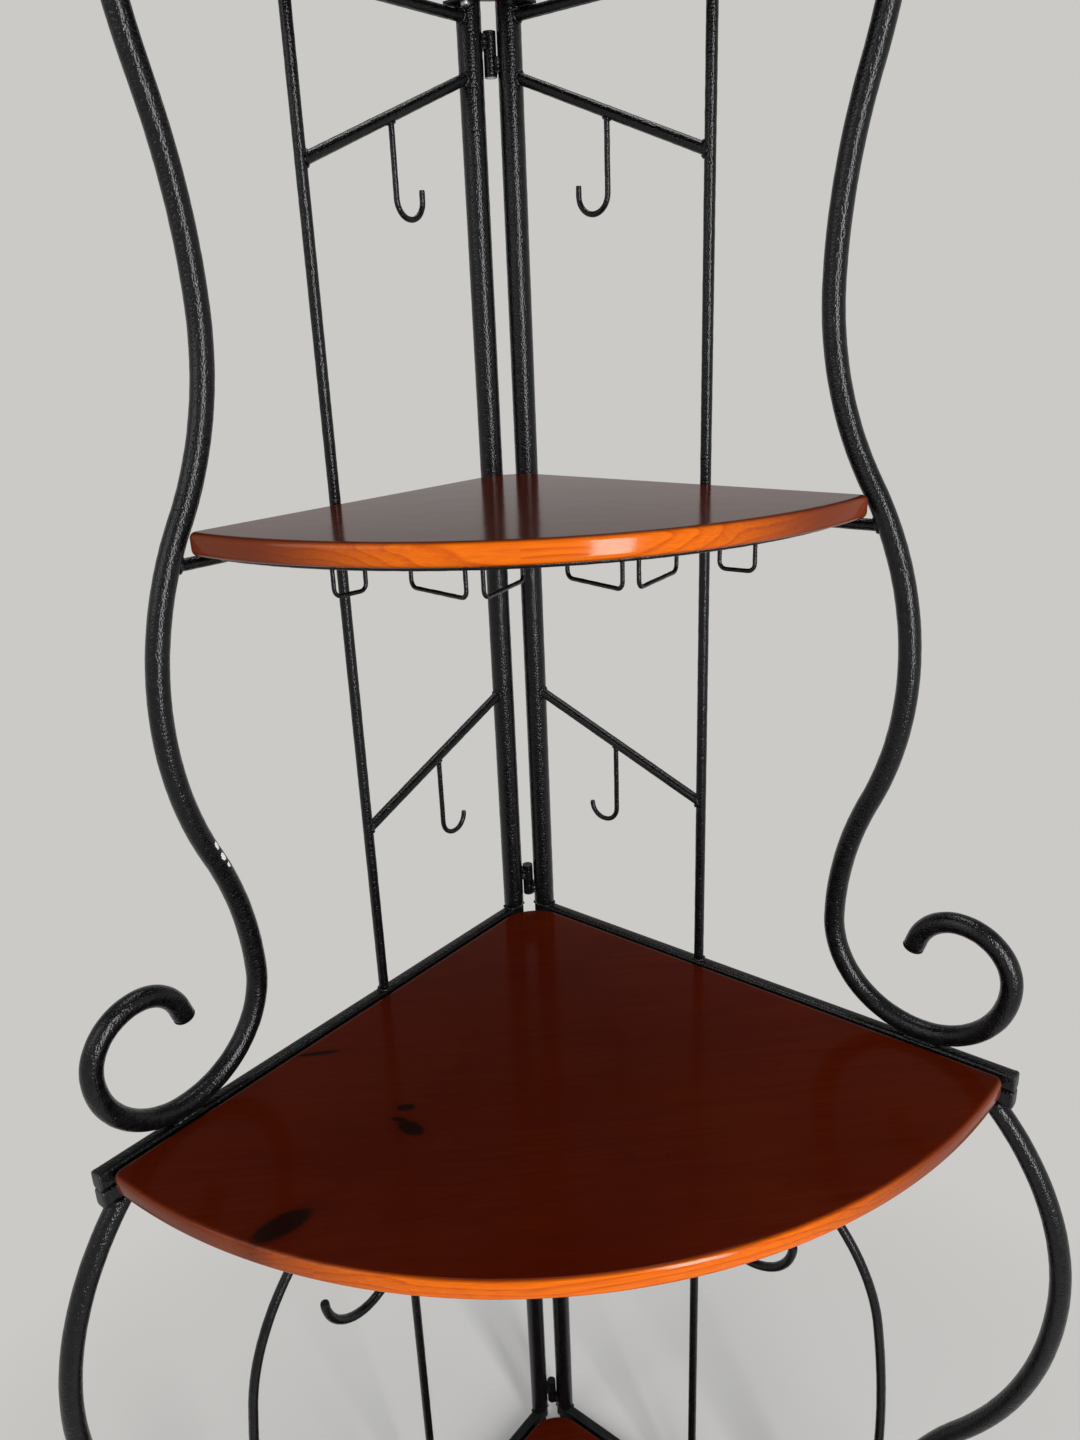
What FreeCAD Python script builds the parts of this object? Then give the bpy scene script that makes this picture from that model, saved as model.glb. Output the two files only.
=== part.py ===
import FreeCAD
import Part
import os
from math import asin, atan, cos, degrees, hypot, pi, radians, sin, sqrt

# Corner bakers rack: two welded steel side frames, hinged together at the back
# corner, carry quarter-round pine boards. Each side frame is an upper section that
# stands on, and is bolted to, a lower section. Lengths are millimetres.

SIZES = {
    # round stock and the small gap that stands for a weld line
    "post_diameter": 21, "tube_diameter": 17.5, "tube_wall": 1.2, "rod_diameter": 9.5,
    "weld_gap": 0.1, "cut_overrun": 6,
    # frame planes stand outside the hinge axis, so the frames can turn about it
    "panel_offset": 11.5, "upright_reach": 202,
    # rectangular rails
    "rail_width": 12, "rail_height": 16, "foot_rail_height": 19, "rail_wall": 1.2, "rail_corner": 2.5,
    "rail_reach": 497.5, "foot_rail_reach": 520, "plug_lip": 1.5, "plug_depth": 8, "plug_gap": 0.1,
    # heights: the base is measured from the floor, the rest from the main rail's top
    "glide_height": 8, "glide_diameter": 15, "base_height": 754,
    "middle_shelf_rise": 453, "top_shelf_rise": 840, "post_past_shelf": 16,
    # S-shaped front tube: bottom scroll, two bulges, two waists and the top scroll
    "scroll_radius_one": 84, "scroll_radius_two": 65,
    "scroll_radius_three": 44, "scroll_radius_four": 34,
    "low_waist_reach": 335.5, "low_bulge_reach": 383, "low_bulge_rise": 316,
    "high_waist_reach": 306, "high_waist_rise": 599, "high_bulge_reach": 344, "high_bulge_past_shelf": 30,
    "crest_radius_one": 66, "crest_radius_two": 50,
    "crest_radius_three": 36, "crest_radius_four": 28,
    # bowed front leg, with a straight shin and a foot scroll
    "leg_top_reach": 479, "leg_bulge_reach": 552, "leg_bulge_height": 562, "leg_waist_reach": 424,
    "leg_shin": 52, "foot_scroll_one": 77.5, "foot_scroll_two": 62.25,
    "foot_scroll_three": 42, "foot_scroll_four": 33,
    # C-shaped scroll rod between the leg and the upright
    "bow_radius": 1000, "bow_rise": 150, "bow_fall": 138.4, "shoulder_radius": 190, "foot_radius": 170,
    "curl_radius_one": 54.6, "curl_radius_two": 48.3,
    "toe_radius": 70, "toe_curl_one": 44, "toe_curl_two": 38,
    # hook bars, each set at the post below the shelf over it, and hooks
    "hook_bar_slant": 78, "low_hook_bar_drop": 211, "high_hook_bar_drop": 65,
    "hook_wire": 5, "hook_reach": 108, "hook_bend": 14.5,
    "low_hook_shank": 68, "low_hook_tip": 1, "high_hook_shank": 58, "high_hook_tip": 8,
    # boards and the tabs that carry them
    "board_thickness": 17, "large_board_reach": 490, "small_board_reach": 348, "board_clearance": 0.5,
    "board_back_round": 40, "board_tip_round": 8, "board_edge_round": 4.5, "seat_gap": 0.3,
    "tab_thickness": 2, "tab_width": 16, "tab_tongue": 14, "tab_setback": 33,
    "screw_diameter": 4, "screw_head_diameter": 8, "screw_head_height": 2.5,
    "screw_bite": 12, "screw_gap": 0.2,
    # wire rack for stemmed glasses under the middle board
    "stem_bar_diameter": 5, "stem_bar_setback": 18, "stem_bar_margin": 14,
    "stem_wire": 3.5, "stem_drop": 21, "stem_bend": 5, "stem_back_setback": 68,
    "stem_mouth": 92, "stem_mouth_pitch": 103.5, "stem_throat": 31, "stem_throat_pitch": 108.5,
    # barrel hinges
    "knuckle_diameter": 10.5, "knuckle_length": 16.5, "knuckle_crown": 3, "hinge_gap": 0.3,
    "hinge_inset": 13, "high_hinge_drop": 67, "pin_diameter": 6, "pin_clearance": 0.05,
    "lug_width": 5, "lug_height": 11,
    # bolts between the two sections
    "bolt_diameter": 6, "bolt_head_diameter": 10, "bolt_head_height": 4,
    "bolt_reach_past": 6, "bolt_gap": 0.2,
}
TAB_FRONT_SHARE = 0.84
BOLT_PLACE_SHARES = (0.22, 0.78)
SCROLL_END_TURN = 72

doc = FreeCAD.newDocument("corner_rack")
sheet = doc.addObject("Spreadsheet::Sheet", "Sizes")
for row, (alias, value) in enumerate(SIZES.items(), start=1):
    sheet.set(f"A{row}", alias)
    sheet.set(f"B{row}", str(value))
    sheet.setAlias(f"B{row}", alias)
doc.recompute()


class Size:
    """Reads a driving dimension from the sheet by its alias."""

    def __getattr__(self, alias):
        return float(sheet.get(alias))


size = Size()
Vector = FreeCAD.Vector
Rotation = FreeCAD.Rotation
Placement = FreeCAD.Placement
UP = Vector(0, 0, 1)
parts = []

post_radius = size.post_diameter / 2
tube_radius = size.tube_diameter / 2
rod_radius = size.rod_diameter / 2
foot_rail_top = size.glide_height + size.foot_rail_height
lower_rail_bottom = size.base_height - size.rail_height
upper_rail_bottom = size.base_height + size.weld_gap
main_top = upper_rail_bottom + size.rail_height
rail_start = size.panel_offset - post_radius + size.plug_lip
board_edge = tube_radius - size.panel_offset + size.board_clearance
scroll_radii = [size.scroll_radius_one, size.scroll_radius_two,
                size.scroll_radius_three, size.scroll_radius_four]
foot_scroll_radii = [size.foot_scroll_one, size.foot_scroll_two,
                     size.foot_scroll_three, size.foot_scroll_four]
crest_radii = [size.crest_radius_one, size.crest_radius_two,
               size.crest_radius_three, size.crest_radius_four]


def keep(item, label, placement=Placement()):
    """Names a finished sub-part and moves it from its frame's own place to the rack's."""
    item.Label = label
    item.Placement = placement.multiply(item.Placement)
    parts.append(item)
    return item


def bound(item, **expressions):
    """Ties an object's sizes to the sheet."""
    for name, expression in expressions.items():
        item.setExpression(name, expression)
    return item


def cylinder(radius, start, end):
    """A round bar from one point to another, its radius given as an expression."""
    bar = bound(doc.addObject("Part::Cylinder", "Bar"), Radius=radius)
    bar.Height = (end - start).Length
    bar.Placement = Placement(start, Rotation(UP, end - start))
    return bar


def box(corner, far_corner):
    """A block between two opposite corners, in any order."""
    low = Vector(*[min(pair) for pair in zip(corner, far_corner)])
    high = Vector(*[max(pair) for pair in zip(corner, far_corner)])
    block = doc.addObject("Part::Box", "Block")
    block.Length, block.Width, block.Height = high - low
    block.Placement.Base = low
    return block


def cut(base, *tools):
    result = doc.addObject("Part::Cut", "Cut")
    result.Base = base
    result.Tool = tools[0] if len(tools) == 1 else group(*tools)
    return result


def fuse(*shapes):
    result = doc.addObject("Part::MultiFuse", "Fuse")
    result.Shapes = list(shapes)
    return result


def group(*shapes):
    result = doc.addObject("Part::Compound", "Group")
    result.Links = list(shapes)
    return result


def rounded(base, radius, chosen):
    """Rounds the edges for which chosen(edge) is true."""
    doc.recompute()
    result = doc.addObject("Part::Fillet", "Rounded")
    result.Base = base
    result.Edges = [(i, radius, radius) for i, edge in enumerate(base.Shape.Edges, start=1) if chosen(edge)]
    return result


def follow(start, heading, moves):
    """Edges, end point and end heading of a flat path in x and z.

    A move is (radius, left-hand turn in degrees), or (length, 0) for a straight run.
    """
    edges = []
    x, z = start
    turned = radians(heading)
    for reach, turn in moves:
        angle = radians(turn)
        if turn == 0:
            stops = [(x + reach * cos(turned), z + reach * sin(turned))]
        else:
            radius = reach if turn > 0 else -reach
            centre_x, centre_z = x - radius * sin(turned), z + radius * cos(turned)
            stops = [(centre_x + radius * sin(turned + part * angle),
                      centre_z - radius * cos(turned + part * angle)) for part in (1 / 2, 1)]
        points = [Vector(px, 0, pz) for px, pz in [(x, z), *stops]]
        curve = Part.LineSegment(*points) if turn == 0 else Part.Arc(*points)
        edges.append(curve.toShape())
        (x, z), turned = stops[-1], turned + angle
    return edges, (x, z), degrees(turned)


def back_along(start, heading, moves):
    """The end of a path, turned round, and the moves that lead from there back to its start."""
    _, end, end_heading = follow(start, heading, moves)
    return end, end_heading + 180, [(reach, -turn) for reach, turn in reversed(moves)]


def swept(radius, start, heading, moves, place):
    """A round bar bent along a flat path, set into a frame by place."""
    edges, _, _ = follow(start, heading, moves)
    spine = doc.addObject("Part::Feature", "Path")
    spine.Shape = Part.Wire(edges)
    ring = bound(doc.addObject("Part::Circle", "Ring"), Radius=radius)
    along = Vector(cos(radians(heading)), 0, sin(radians(heading)))
    ring.Placement = Placement(Vector(start[0], 0, start[1]), Rotation(UP, along))
    bar = doc.addObject("Part::Sweep", "Bent")
    bar.Sections = [ring]
    bar.Spine = (spine, [f"Edge{i}" for i in range(1, len(edges) + 1)])
    bar.Solid = True
    bar.Placement = place
    return bar


POST = "Sizes.post_diameter / 2"
POST_BORE = "Sizes.post_diameter / 2 - Sizes.tube_wall"
POST_CLEAR = "Sizes.post_diameter / 2 + Sizes.weld_gap"
TUBE = "Sizes.tube_diameter / 2"
TUBE_BORE = "Sizes.tube_diameter / 2 - Sizes.tube_wall"
TUBE_CLEAR = "Sizes.tube_diameter / 2 + Sizes.weld_gap"
ROD = "Sizes.rod_diameter / 2"
ROD_CLEAR = "Sizes.rod_diameter / 2 + Sizes.weld_gap"


def s_curve(low, high):
    """Two equal arcs that join two upright points of a tube: their radius and turn."""
    width, height = high[0] - low[0], high[1] - low[1]
    radius = (width ** 2 + height ** 2) / (4 * abs(width))
    turn = degrees(2 * atan(width / height))
    return [(radius, -turn), (radius, turn)]


def s_curve_reach(low, high, height):
    """The x of such a pair of arcs at a height between its two ends."""
    radius = s_curve(low, high)[0][0]
    end, other = (low, high) if height < (low[1] + high[1]) / 2 else (high, low)
    bulge = radius - sqrt(radius ** 2 - (height - end[1]) ** 2)
    return end[0] + bulge * (1 if other[0] > end[0] else -1)


def curl(radii, side):
    """Quarter turns of shrinking radius; side is 1 for left-hand turns."""
    return [(radius, side * 90) for radius in radii]


def scroll(radii):
    """A curl that ends a tube, its last turn cut short by the straight bit that takes the end plug."""
    return [*curl(radii[:-1], 1), (radii[-1], SCROLL_END_TURN), (size.plug_depth + size.plug_lip, 0)]


# Paths, in x along a frame from the hinge axis and z above the floor

low_waist = (size.low_waist_reach, main_top + size.weld_gap + tube_radius + size.scroll_radius_one)
low_bulge = (size.low_bulge_reach, main_top + size.low_bulge_rise)
high_waist = (size.high_waist_reach, main_top + size.high_waist_rise)
high_bulge = (size.high_bulge_reach, main_top + size.top_shelf_rise + size.high_bulge_past_shelf)
front_start, front_heading, front_moves = back_along(low_waist, -90, scroll(scroll_radii))
front_moves += s_curve(low_waist, low_bulge) + s_curve(low_bulge, high_waist)
front_moves += s_curve(high_waist, high_bulge) + scroll(crest_radii)

leg_bulge = (size.leg_bulge_reach, size.leg_bulge_height)
leg_waist = (size.leg_waist_reach,
             foot_rail_top + size.weld_gap + tube_radius + size.foot_scroll_one + size.leg_shin)
leg_out = size.leg_bulge_reach - size.leg_top_reach
leg_drop = lower_rail_bottom - size.leg_bulge_height
leg_top_radius = (leg_out ** 2 + leg_drop ** 2) / (2 * leg_out)
leg_top_turn = degrees(asin(leg_drop / leg_top_radius))
leg_bow = s_curve(leg_waist, leg_bulge)
leg_heading = leg_top_turn - 90
leg_overrun = size.tube_diameter
leg_start = (size.leg_top_reach - leg_overrun * cos(radians(leg_heading)),
             lower_rail_bottom - leg_overrun * sin(radians(leg_heading)))
leg_moves = [(leg_overrun, 0), (leg_top_radius, -leg_top_turn)]
leg_moves += [(radius, -turn) for radius, turn in reversed(leg_bow)]
leg_moves += [(size.leg_shin, 0), *scroll(foot_scroll_radii)]

# The C-shaped rod stands on the foot rail, leans on the leg and touches the upright
DIAGONAL = cos(radians(45))
fall_turn = degrees(asin(size.bow_fall / size.bow_radius))
rise_turn = degrees(asin(size.bow_rise / size.bow_radius))
toe_height = ((size.bow_radius - size.foot_radius) * sin(radians(fall_turn))
              + (size.foot_radius - size.toe_radius) * DIAGONAL + size.toe_radius)
bow_height = foot_rail_top + size.weld_gap + rod_radius + toe_height
leg_radius = leg_bow[0][0]
bow_to_leg = size.bow_radius + rod_radius + leg_radius + tube_radius + size.weld_gap
bow_reach = (size.leg_waist_reach + leg_radius + size.bow_radius
             - sqrt(bow_to_leg ** 2 - (bow_height - leg_waist[1]) ** 2))
upright_touch = size.upright_reach + size.rod_diameter + size.weld_gap
crown_radius = ((bow_reach - size.bow_radius
                 + (size.bow_radius - size.shoulder_radius) * cos(radians(rise_turn))
                 + size.shoulder_radius * DIAGONAL - upright_touch) / (1 + DIAGONAL))
bow_up = [(size.bow_radius, rise_turn), (size.shoulder_radius, 45 - rise_turn), (crown_radius, 135),
          *curl([size.curl_radius_one, size.curl_radius_two], 1)]
bow_down = [(size.bow_radius, -fall_turn), (size.foot_radius, fall_turn - 45), (size.toe_radius, -135),
            *curl([size.toe_curl_one, size.toe_curl_two], -1)]
bow_start, bow_heading, bow_moves = back_along((bow_reach, bow_height), -90, bow_down)
bow_moves += bow_up


def path_reach(start, heading, moves):
    """The farthest x along a path."""
    edges, _, _ = follow(start, heading, moves)
    return max(edge.BoundBox.XMax for edge in edges)


widest = max(path_reach(leg_start, leg_heading, leg_moves),
             path_reach(front_start, front_heading, front_moves))
hinge_x = -(widest + tube_radius - size.panel_offset - post_radius) / 2
hinge_y = -hinge_x
hinge_base = Vector(hinge_x, hinge_y, 0)

shelf_tops = {"bottom": foot_rail_top, "main": main_top, "middle": main_top + size.middle_shelf_rise,
              "top": main_top + size.top_shelf_rise}
post_top = shelf_tops["top"] + size.post_past_shelf
shelf_reaches = {"bottom": size.large_board_reach, "main": size.large_board_reach,
                 "middle": size.small_board_reach, "top": size.small_board_reach}
shelf_seats = {name: height - size.board_thickness - size.seat_gap for name, height in shelf_tops.items()}
support_drop = size.tab_thickness + size.weld_gap + rod_radius
supports = {name: shelf_seats[name] - support_drop for name in ("middle", "top")}
support_reaches = {"middle": s_curve_reach(low_bulge, high_waist, supports["middle"]),
                   "top": s_curve_reach(high_waist, high_bulge, supports["top"])}


class Side:
    """One side frame: x runs out along it, inward is the sign of y towards the boards."""

    def __init__(self, name, inward, turn):
        self.name = name
        self.inward = inward
        self.plane = -inward * size.panel_offset
        self.place = Placement(hinge_base, Rotation(UP, turn))

    def point(self, x, z, inside=0.0):
        return Vector(x, self.plane + self.inward * inside, z)

    def seat(self):
        return Placement(Vector(0, self.plane, 0), Rotation())

    def keep(self, item, label):
        return keep(item, f"{self.name}_{label}", self.place)

    def tab_points(self, shelf):
        """Screw holes of a shelf's two tabs: x along the frame and y."""
        along = (size.tab_setback, TAB_FRONT_SHARE * shelf_reaches[shelf])
        across = self.inward * (board_edge + size.tab_tongue / 2)
        return [(x, across) for x in along]


sides = [Side("left", 1, -90), Side("right", -1, 0)]


def post_run(side, x, low, high, label):
    """An upright hollow post."""
    skin = cylinder(POST, side.point(x, low), side.point(x, high))
    bore = cylinder(POST_BORE, side.point(x, low - size.cut_overrun), side.point(x, high + size.cut_overrun))
    return side.keep(cut(skin, bore), label)


def bent_tube(side, start, heading, moves, label, *cutters):
    """A hollow tube bent along a flat path."""
    skin = swept(TUBE, start, heading, moves, side.seat())
    bore = swept(TUBE_BORE, start, heading, moves, side.seat())
    return side.keep(cut(skin, bore, *cutters), label)


def rail(side, low, high, far, label, holes):
    """A rectangular tube that lies along the frame, from the back post to its front end."""
    half = size.rail_width / 2
    near = rail_start + size.plug_lip
    block = box(Vector(near, side.plane - half, low),
                Vector(far - size.plug_lip, side.plane + half, high))
    skin = rounded(block, size.rail_corner, lambda edge: edge.BoundBox.XLength > high - low)
    inner = half - size.rail_wall
    hollow = box(Vector(near - size.cut_overrun, side.plane - inner, low + size.rail_wall),
                 Vector(far + size.cut_overrun, side.plane + inner, high - size.rail_wall))
    return side.keep(cut(skin, hollow, *holes), label)


def rail_plug(side, low, high, face, inwards):
    """A push-in end for a rail: a lip and a tongue; inwards is the sign of x into the rail."""
    half = size.rail_width / 2
    tongue_half = half - size.rail_wall - size.plug_gap
    margin = size.rail_wall + size.plug_gap
    lip = box(Vector(face, side.plane - half, low),
              Vector(face + inwards * size.plug_lip, side.plane + half, high))
    lip = rounded(lip, size.rail_corner,
                  lambda edge: edge.BoundBox.YLength < size.plug_gap and edge.BoundBox.ZLength < size.plug_gap)
    tongue = box(Vector(face + inwards * size.plug_lip / 2, side.plane - tongue_half, low + margin),
                 Vector(face + inwards * (size.plug_lip + size.plug_depth), side.plane + tongue_half,
                        high - margin))
    return fuse(lip, tongue)


def tube_plug(side, end, heading, stock="tube"):
    """A flat disc with a spigot that closes a tube or post whose path ends with this heading."""
    away = Vector(cos(radians(heading)), 0, sin(radians(heading)))
    face = side.point(*end)
    disc = cylinder(f"Sizes.{stock}_diameter / 2",
                    face + away * size.weld_gap, face + away * (size.weld_gap + size.plug_lip))
    spigot = cylinder(f"Sizes.{stock}_diameter / 2 - Sizes.tube_wall - Sizes.plug_gap",
                      face - away * size.plug_depth, face + away * size.plug_lip)
    return fuse(disc, spigot)


def bolt_points(side):
    return [side.point(share * size.rail_reach, lower_rail_bottom) for share in BOLT_PLACE_SHARES]


def bolt_hole(point, low, high):
    radius = "Sizes.bolt_diameter / 2 + Sizes.bolt_gap"
    return cylinder(radius, Vector(point.x, point.y, low), Vector(point.x, point.y, high))


def lower_section(side):
    """Rails, post, upright, bowed leg, scroll rod and glides of a lower frame."""
    holes = [bolt_hole(p, lower_rail_bottom - size.cut_overrun, main_top) for p in bolt_points(side)]
    rail(side, size.glide_height, foot_rail_top, size.foot_rail_reach, "foot_rail", [])
    rail(side, lower_rail_bottom, size.base_height, size.rail_reach, "lower_rail", holes)
    low, high = foot_rail_top + size.weld_gap, lower_rail_bottom - size.weld_gap
    post_run(side, size.panel_offset, low, high, "lower_post")
    upright = cylinder(ROD, side.point(size.upright_reach, low), side.point(size.upright_reach, high))
    side.keep(upright, "lower_upright")
    above = box(side.point(0, high, -size.tube_diameter), side.point(widest, main_top, size.tube_diameter))
    bent_tube(side, leg_start, leg_heading, leg_moves, "leg", above)
    side.keep(swept(ROD, bow_start, bow_heading, bow_moves, side.seat()), "scroll_rod")
    glides = []
    for x in (size.panel_offset, size.foot_rail_reach - size.glide_diameter):
        cone = bound(doc.addObject("Part::Cone", "Glide"), Radius2="Sizes.glide_diameter / 2",
                     Radius1="Sizes.glide_diameter / 2 - Sizes.plug_lip",
                     Height="Sizes.glide_height - Sizes.weld_gap")
        cone.Placement.Base = side.point(x, 0)
        glides.append(cone)
    side.keep(group(*glides), "glides")


def upper_section(side):
    """Rail, post, upright, front tube, shelf supports, hook bars and hooks of an upper frame."""
    holes = [bolt_hole(p, lower_rail_bottom, upper_rail_bottom + size.rail_wall + size.weld_gap)
             for p in bolt_points(side)]
    rail(side, upper_rail_bottom, main_top, size.rail_reach, "upper_rail", holes)
    low = main_top + size.weld_gap
    post_run(side, size.panel_offset, low, post_top, "upper_post")
    bent_tube(side, front_start, front_heading, front_moves, "front_tube")

    def post_cutter():
        return cylinder(POST_CLEAR, side.point(size.panel_offset, low),
                        side.point(size.panel_offset, high_bulge[1]))

    upright_line = (side.point(size.upright_reach, low), side.point(size.upright_reach, supports["top"]))
    lines = {name: (side.point(size.panel_offset, z), side.point(support_reaches[name], z))
             for name, z in supports.items()}
    support_cutters = [cylinder(ROD_CLEAR, *line) for line in lines.values()]
    side.keep(cut(cylinder(ROD, *upright_line), *support_cutters), "upper_upright")
    for name, line in lines.items():
        front_cutter = swept(TUBE_CLEAR, front_start, front_heading, front_moves, side.seat())
        side.keep(cut(cylinder(ROD, *line), post_cutter(), front_cutter), f"{name}_support")
    hook_bars = (("low", shelf_tops["middle"] - size.low_hook_bar_drop, size.low_hook_shank, size.low_hook_tip),
                 ("high", shelf_tops["top"] - size.high_hook_bar_drop, size.high_hook_shank, size.high_hook_tip))
    for name, near_z, shank, tip in hook_bars:
        near = side.point(size.panel_offset, near_z)
        far = side.point(size.upright_reach, near_z - size.hook_bar_slant)
        upright_cutter = cylinder(ROD_CLEAR, *upright_line)
        side.keep(cut(cylinder(ROD, near, far), post_cutter(), upright_cutter), f"{name}_hook_bar")
        slope = (far.z - near.z) / (far.x - near.x)
        bar_z = near.z + slope * (size.hook_reach - near.x)
        moves = [(shank, 0), (size.hook_bend, -180), (tip, 0)]
        wire = swept("Sizes.hook_wire / 2", (size.hook_reach, bar_z), -90, moves, side.seat())
        side.keep(cut(wire, cylinder(ROD_CLEAR, near, far)), f"{name}_hook")


def tabs(side):
    """Small plates under the boards, on the rails and on the supports, each with a screw hole."""
    plates = []
    for name, seat in shelf_seats.items():
        outer = 0 if name in supports else size.rail_width / 2 + size.weld_gap
        for x, y in side.tab_points(name):
            low = seat - size.tab_thickness
            plate = box(Vector(x - size.tab_width / 2, side.plane + side.inward * outer, low),
                        Vector(x + size.tab_width / 2, y + side.inward * size.tab_tongue / 2, seat))
            hole = cylinder("Sizes.screw_diameter / 2 + Sizes.screw_gap",
                            Vector(x, y, low - size.cut_overrun), Vector(x, y, seat + size.cut_overrun))
            plates.append(cut(plate, hole))
    side.keep(group(*plates), "shelf_tabs")


def end_plugs(side):
    """Push-in ends of the rails, the post and the two bent tubes."""
    plugs = []
    for low, high, far in ((size.glide_height, foot_rail_top, size.foot_rail_reach),
                           (lower_rail_bottom, size.base_height, size.rail_reach),
                           (upper_rail_bottom, main_top, size.rail_reach)):
        plugs += [rail_plug(side, low, high, rail_start, 1), rail_plug(side, low, high, far, -1)]
    for path in ((front_start, front_heading, front_moves), (leg_start, leg_heading, leg_moves)):
        _, end, end_heading = follow(*path)
        plugs.append(tube_plug(side, end, end_heading))
    plugs.append(tube_plug(side, front_start, front_heading + 180))
    plugs.append(tube_plug(side, (size.panel_offset, post_top), 90, "post"))
    side.keep(group(*plugs), "end_plugs")


def section_bolts(side):
    """Bolts that go up through the lower section's rail into the upper section's rail."""
    bolts = []
    for point in bolt_points(side):
        under = point - UP * size.weld_gap
        tip = Vector(point.x, point.y, upper_rail_bottom + size.rail_wall + size.bolt_reach_past)
        head = cylinder("Sizes.bolt_head_diameter / 2", under - UP * size.bolt_head_height, under)
        shank = cylinder("Sizes.bolt_diameter / 2", under - UP * size.bolt_head_height / 2, tip)
        bolts.append(fuse(head, shank))
    side.keep(group(*bolts), "section_bolts")


# Barrel hinges: a capped knuckle on the left post turns on a pin in a knuckle on the right post

hinge_length = 2 * size.knuckle_length + size.hinge_gap
hinge_heights = [foot_rail_top + size.hinge_inset, lower_rail_bottom - size.hinge_inset - hinge_length,
                 main_top + size.hinge_inset, shelf_tops["top"] - size.high_hinge_drop]
pin_fit = "Sizes.pin_diameter / 2 + Sizes.pin_clearance"


def knuckle(side, low, number, label, closed):
    """A barrel on the hinge axis with a weld lug that reaches its own post; closed leaves a crown."""
    low_end, high_end = Vector(0, 0, low), Vector(0, 0, low + size.knuckle_length)
    barrel = cylinder("Sizes.knuckle_diameter / 2", low_end, high_end)
    lug = box(Vector(0, -size.lug_width / 2, 0),
              Vector(size.panel_offset * sqrt(2), size.lug_width / 2, size.lug_height))
    middle = low + (size.knuckle_length - size.lug_height) / 2
    lug.Placement = Placement(Vector(0, 0, middle), Rotation(UP, -45 * side.inward)).multiply(lug.Placement)
    top = high_end - UP * size.knuckle_crown if closed else high_end + UP * size.cut_overrun
    bore = cylinder(pin_fit, low_end - UP * size.cut_overrun, top)
    post = cylinder(POST_CLEAR, side.point(size.panel_offset, low - size.cut_overrun),
                    side.point(size.panel_offset, low + hinge_length))
    side.keep(cut(fuse(barrel, lug), bore, post), f"{label}_{number}")


def hinges(left, right):
    pins = []
    for number, low in enumerate(hinge_heights, start=1):
        high = low + size.knuckle_length + size.hinge_gap
        knuckle(right, low, number, "hinge_socket", False)
        knuckle(left, high, number, "hinge_cap", True)
        pin_top = high + size.knuckle_length - size.knuckle_crown - size.hinge_gap
        pins.append(cylinder("Sizes.pin_diameter / 2", Vector(0, 0, low), Vector(0, 0, pin_top)))
    keep(group(*pins), "hinge_pins", Placement(hinge_base, Rotation()))


def screw_places(shelf, some_sides):
    """Screw holes of a shelf, in the rack's own x and y."""
    return [side.place.multVec(Vector(x, y, shelf_seats[shelf]))
            for side in some_sides for x, y in side.tab_points(shelf)]


def board(shelf):
    """A quarter-round pine board with a rounded back corner and tips, eased edges and pilot holes."""
    reach_alias = "small_board_reach" if shelf in supports else "large_board_reach"
    low = shelf_tops[shelf] - size.board_thickness
    disc = bound(doc.addObject("Part::Cylinder", "Disc"), Radius=f"Sizes.{reach_alias}",
                 Height="Sizes.board_thickness")
    disc.Placement.Base = hinge_base + UP * low
    past = shelf_reaches[shelf] + size.cut_overrun
    square = box(hinge_base + Vector(board_edge, -board_edge, low),
                 hinge_base + Vector(past, -past, low + size.board_thickness))
    quarter = doc.addObject("Part::Common", "Quarter")
    quarter.Base, quarter.Tool = disc, square

    def upright(edge):
        return edge.BoundBox.ZLength > size.board_thickness / 2

    def at_back(edge):
        return upright(edge) and (edge.CenterOfMass - hinge_base - UP * low).Length < size.board_back_round

    soft = rounded(quarter, size.board_back_round, at_back)
    soft = rounded(soft, size.board_tip_round, lambda edge: upright(edge) and is_tip(edge))
    soft = rounded(soft, size.board_edge_round, lambda edge: not upright(edge))
    pilot = "Sizes.screw_diameter / 2 + Sizes.pin_clearance"
    depth = size.seat_gap + size.screw_bite + size.weld_gap
    holes = [cylinder(pilot, place - UP * size.cut_overrun, place + UP * depth)
             for place in screw_places(shelf, sides)]
    keep(cut(soft, *holes), f"{shelf}_board")


def is_tip(edge):
    """True for an upright corner edge far from the hinge axis that lies on one of the straight sides."""
    away = edge.CenterOfMass - hinge_base
    on_side = min(abs(away.x - board_edge), abs(-away.y - board_edge)) < size.weld_gap
    return on_side and hypot(away.x, away.y) > size.small_board_reach - size.board_tip_round


def board_screws(left):
    """Pan-head screws that hold the boards to the left frame's tabs."""
    screws = []
    for shelf in shelf_tops:
        for seat in screw_places(shelf, [left]):
            under = seat - UP * (size.tab_thickness + size.weld_gap)
            head = cylinder("Sizes.screw_head_diameter / 2", under - UP * size.screw_head_height, under)
            shank = cylinder("Sizes.screw_diameter / 2", under - UP * size.screw_head_height / 2,
                             seat + UP * (size.seat_gap + size.screw_bite))
            screws.append(fuse(head, shank))
    keep(group(*screws), "board_screws")


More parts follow.
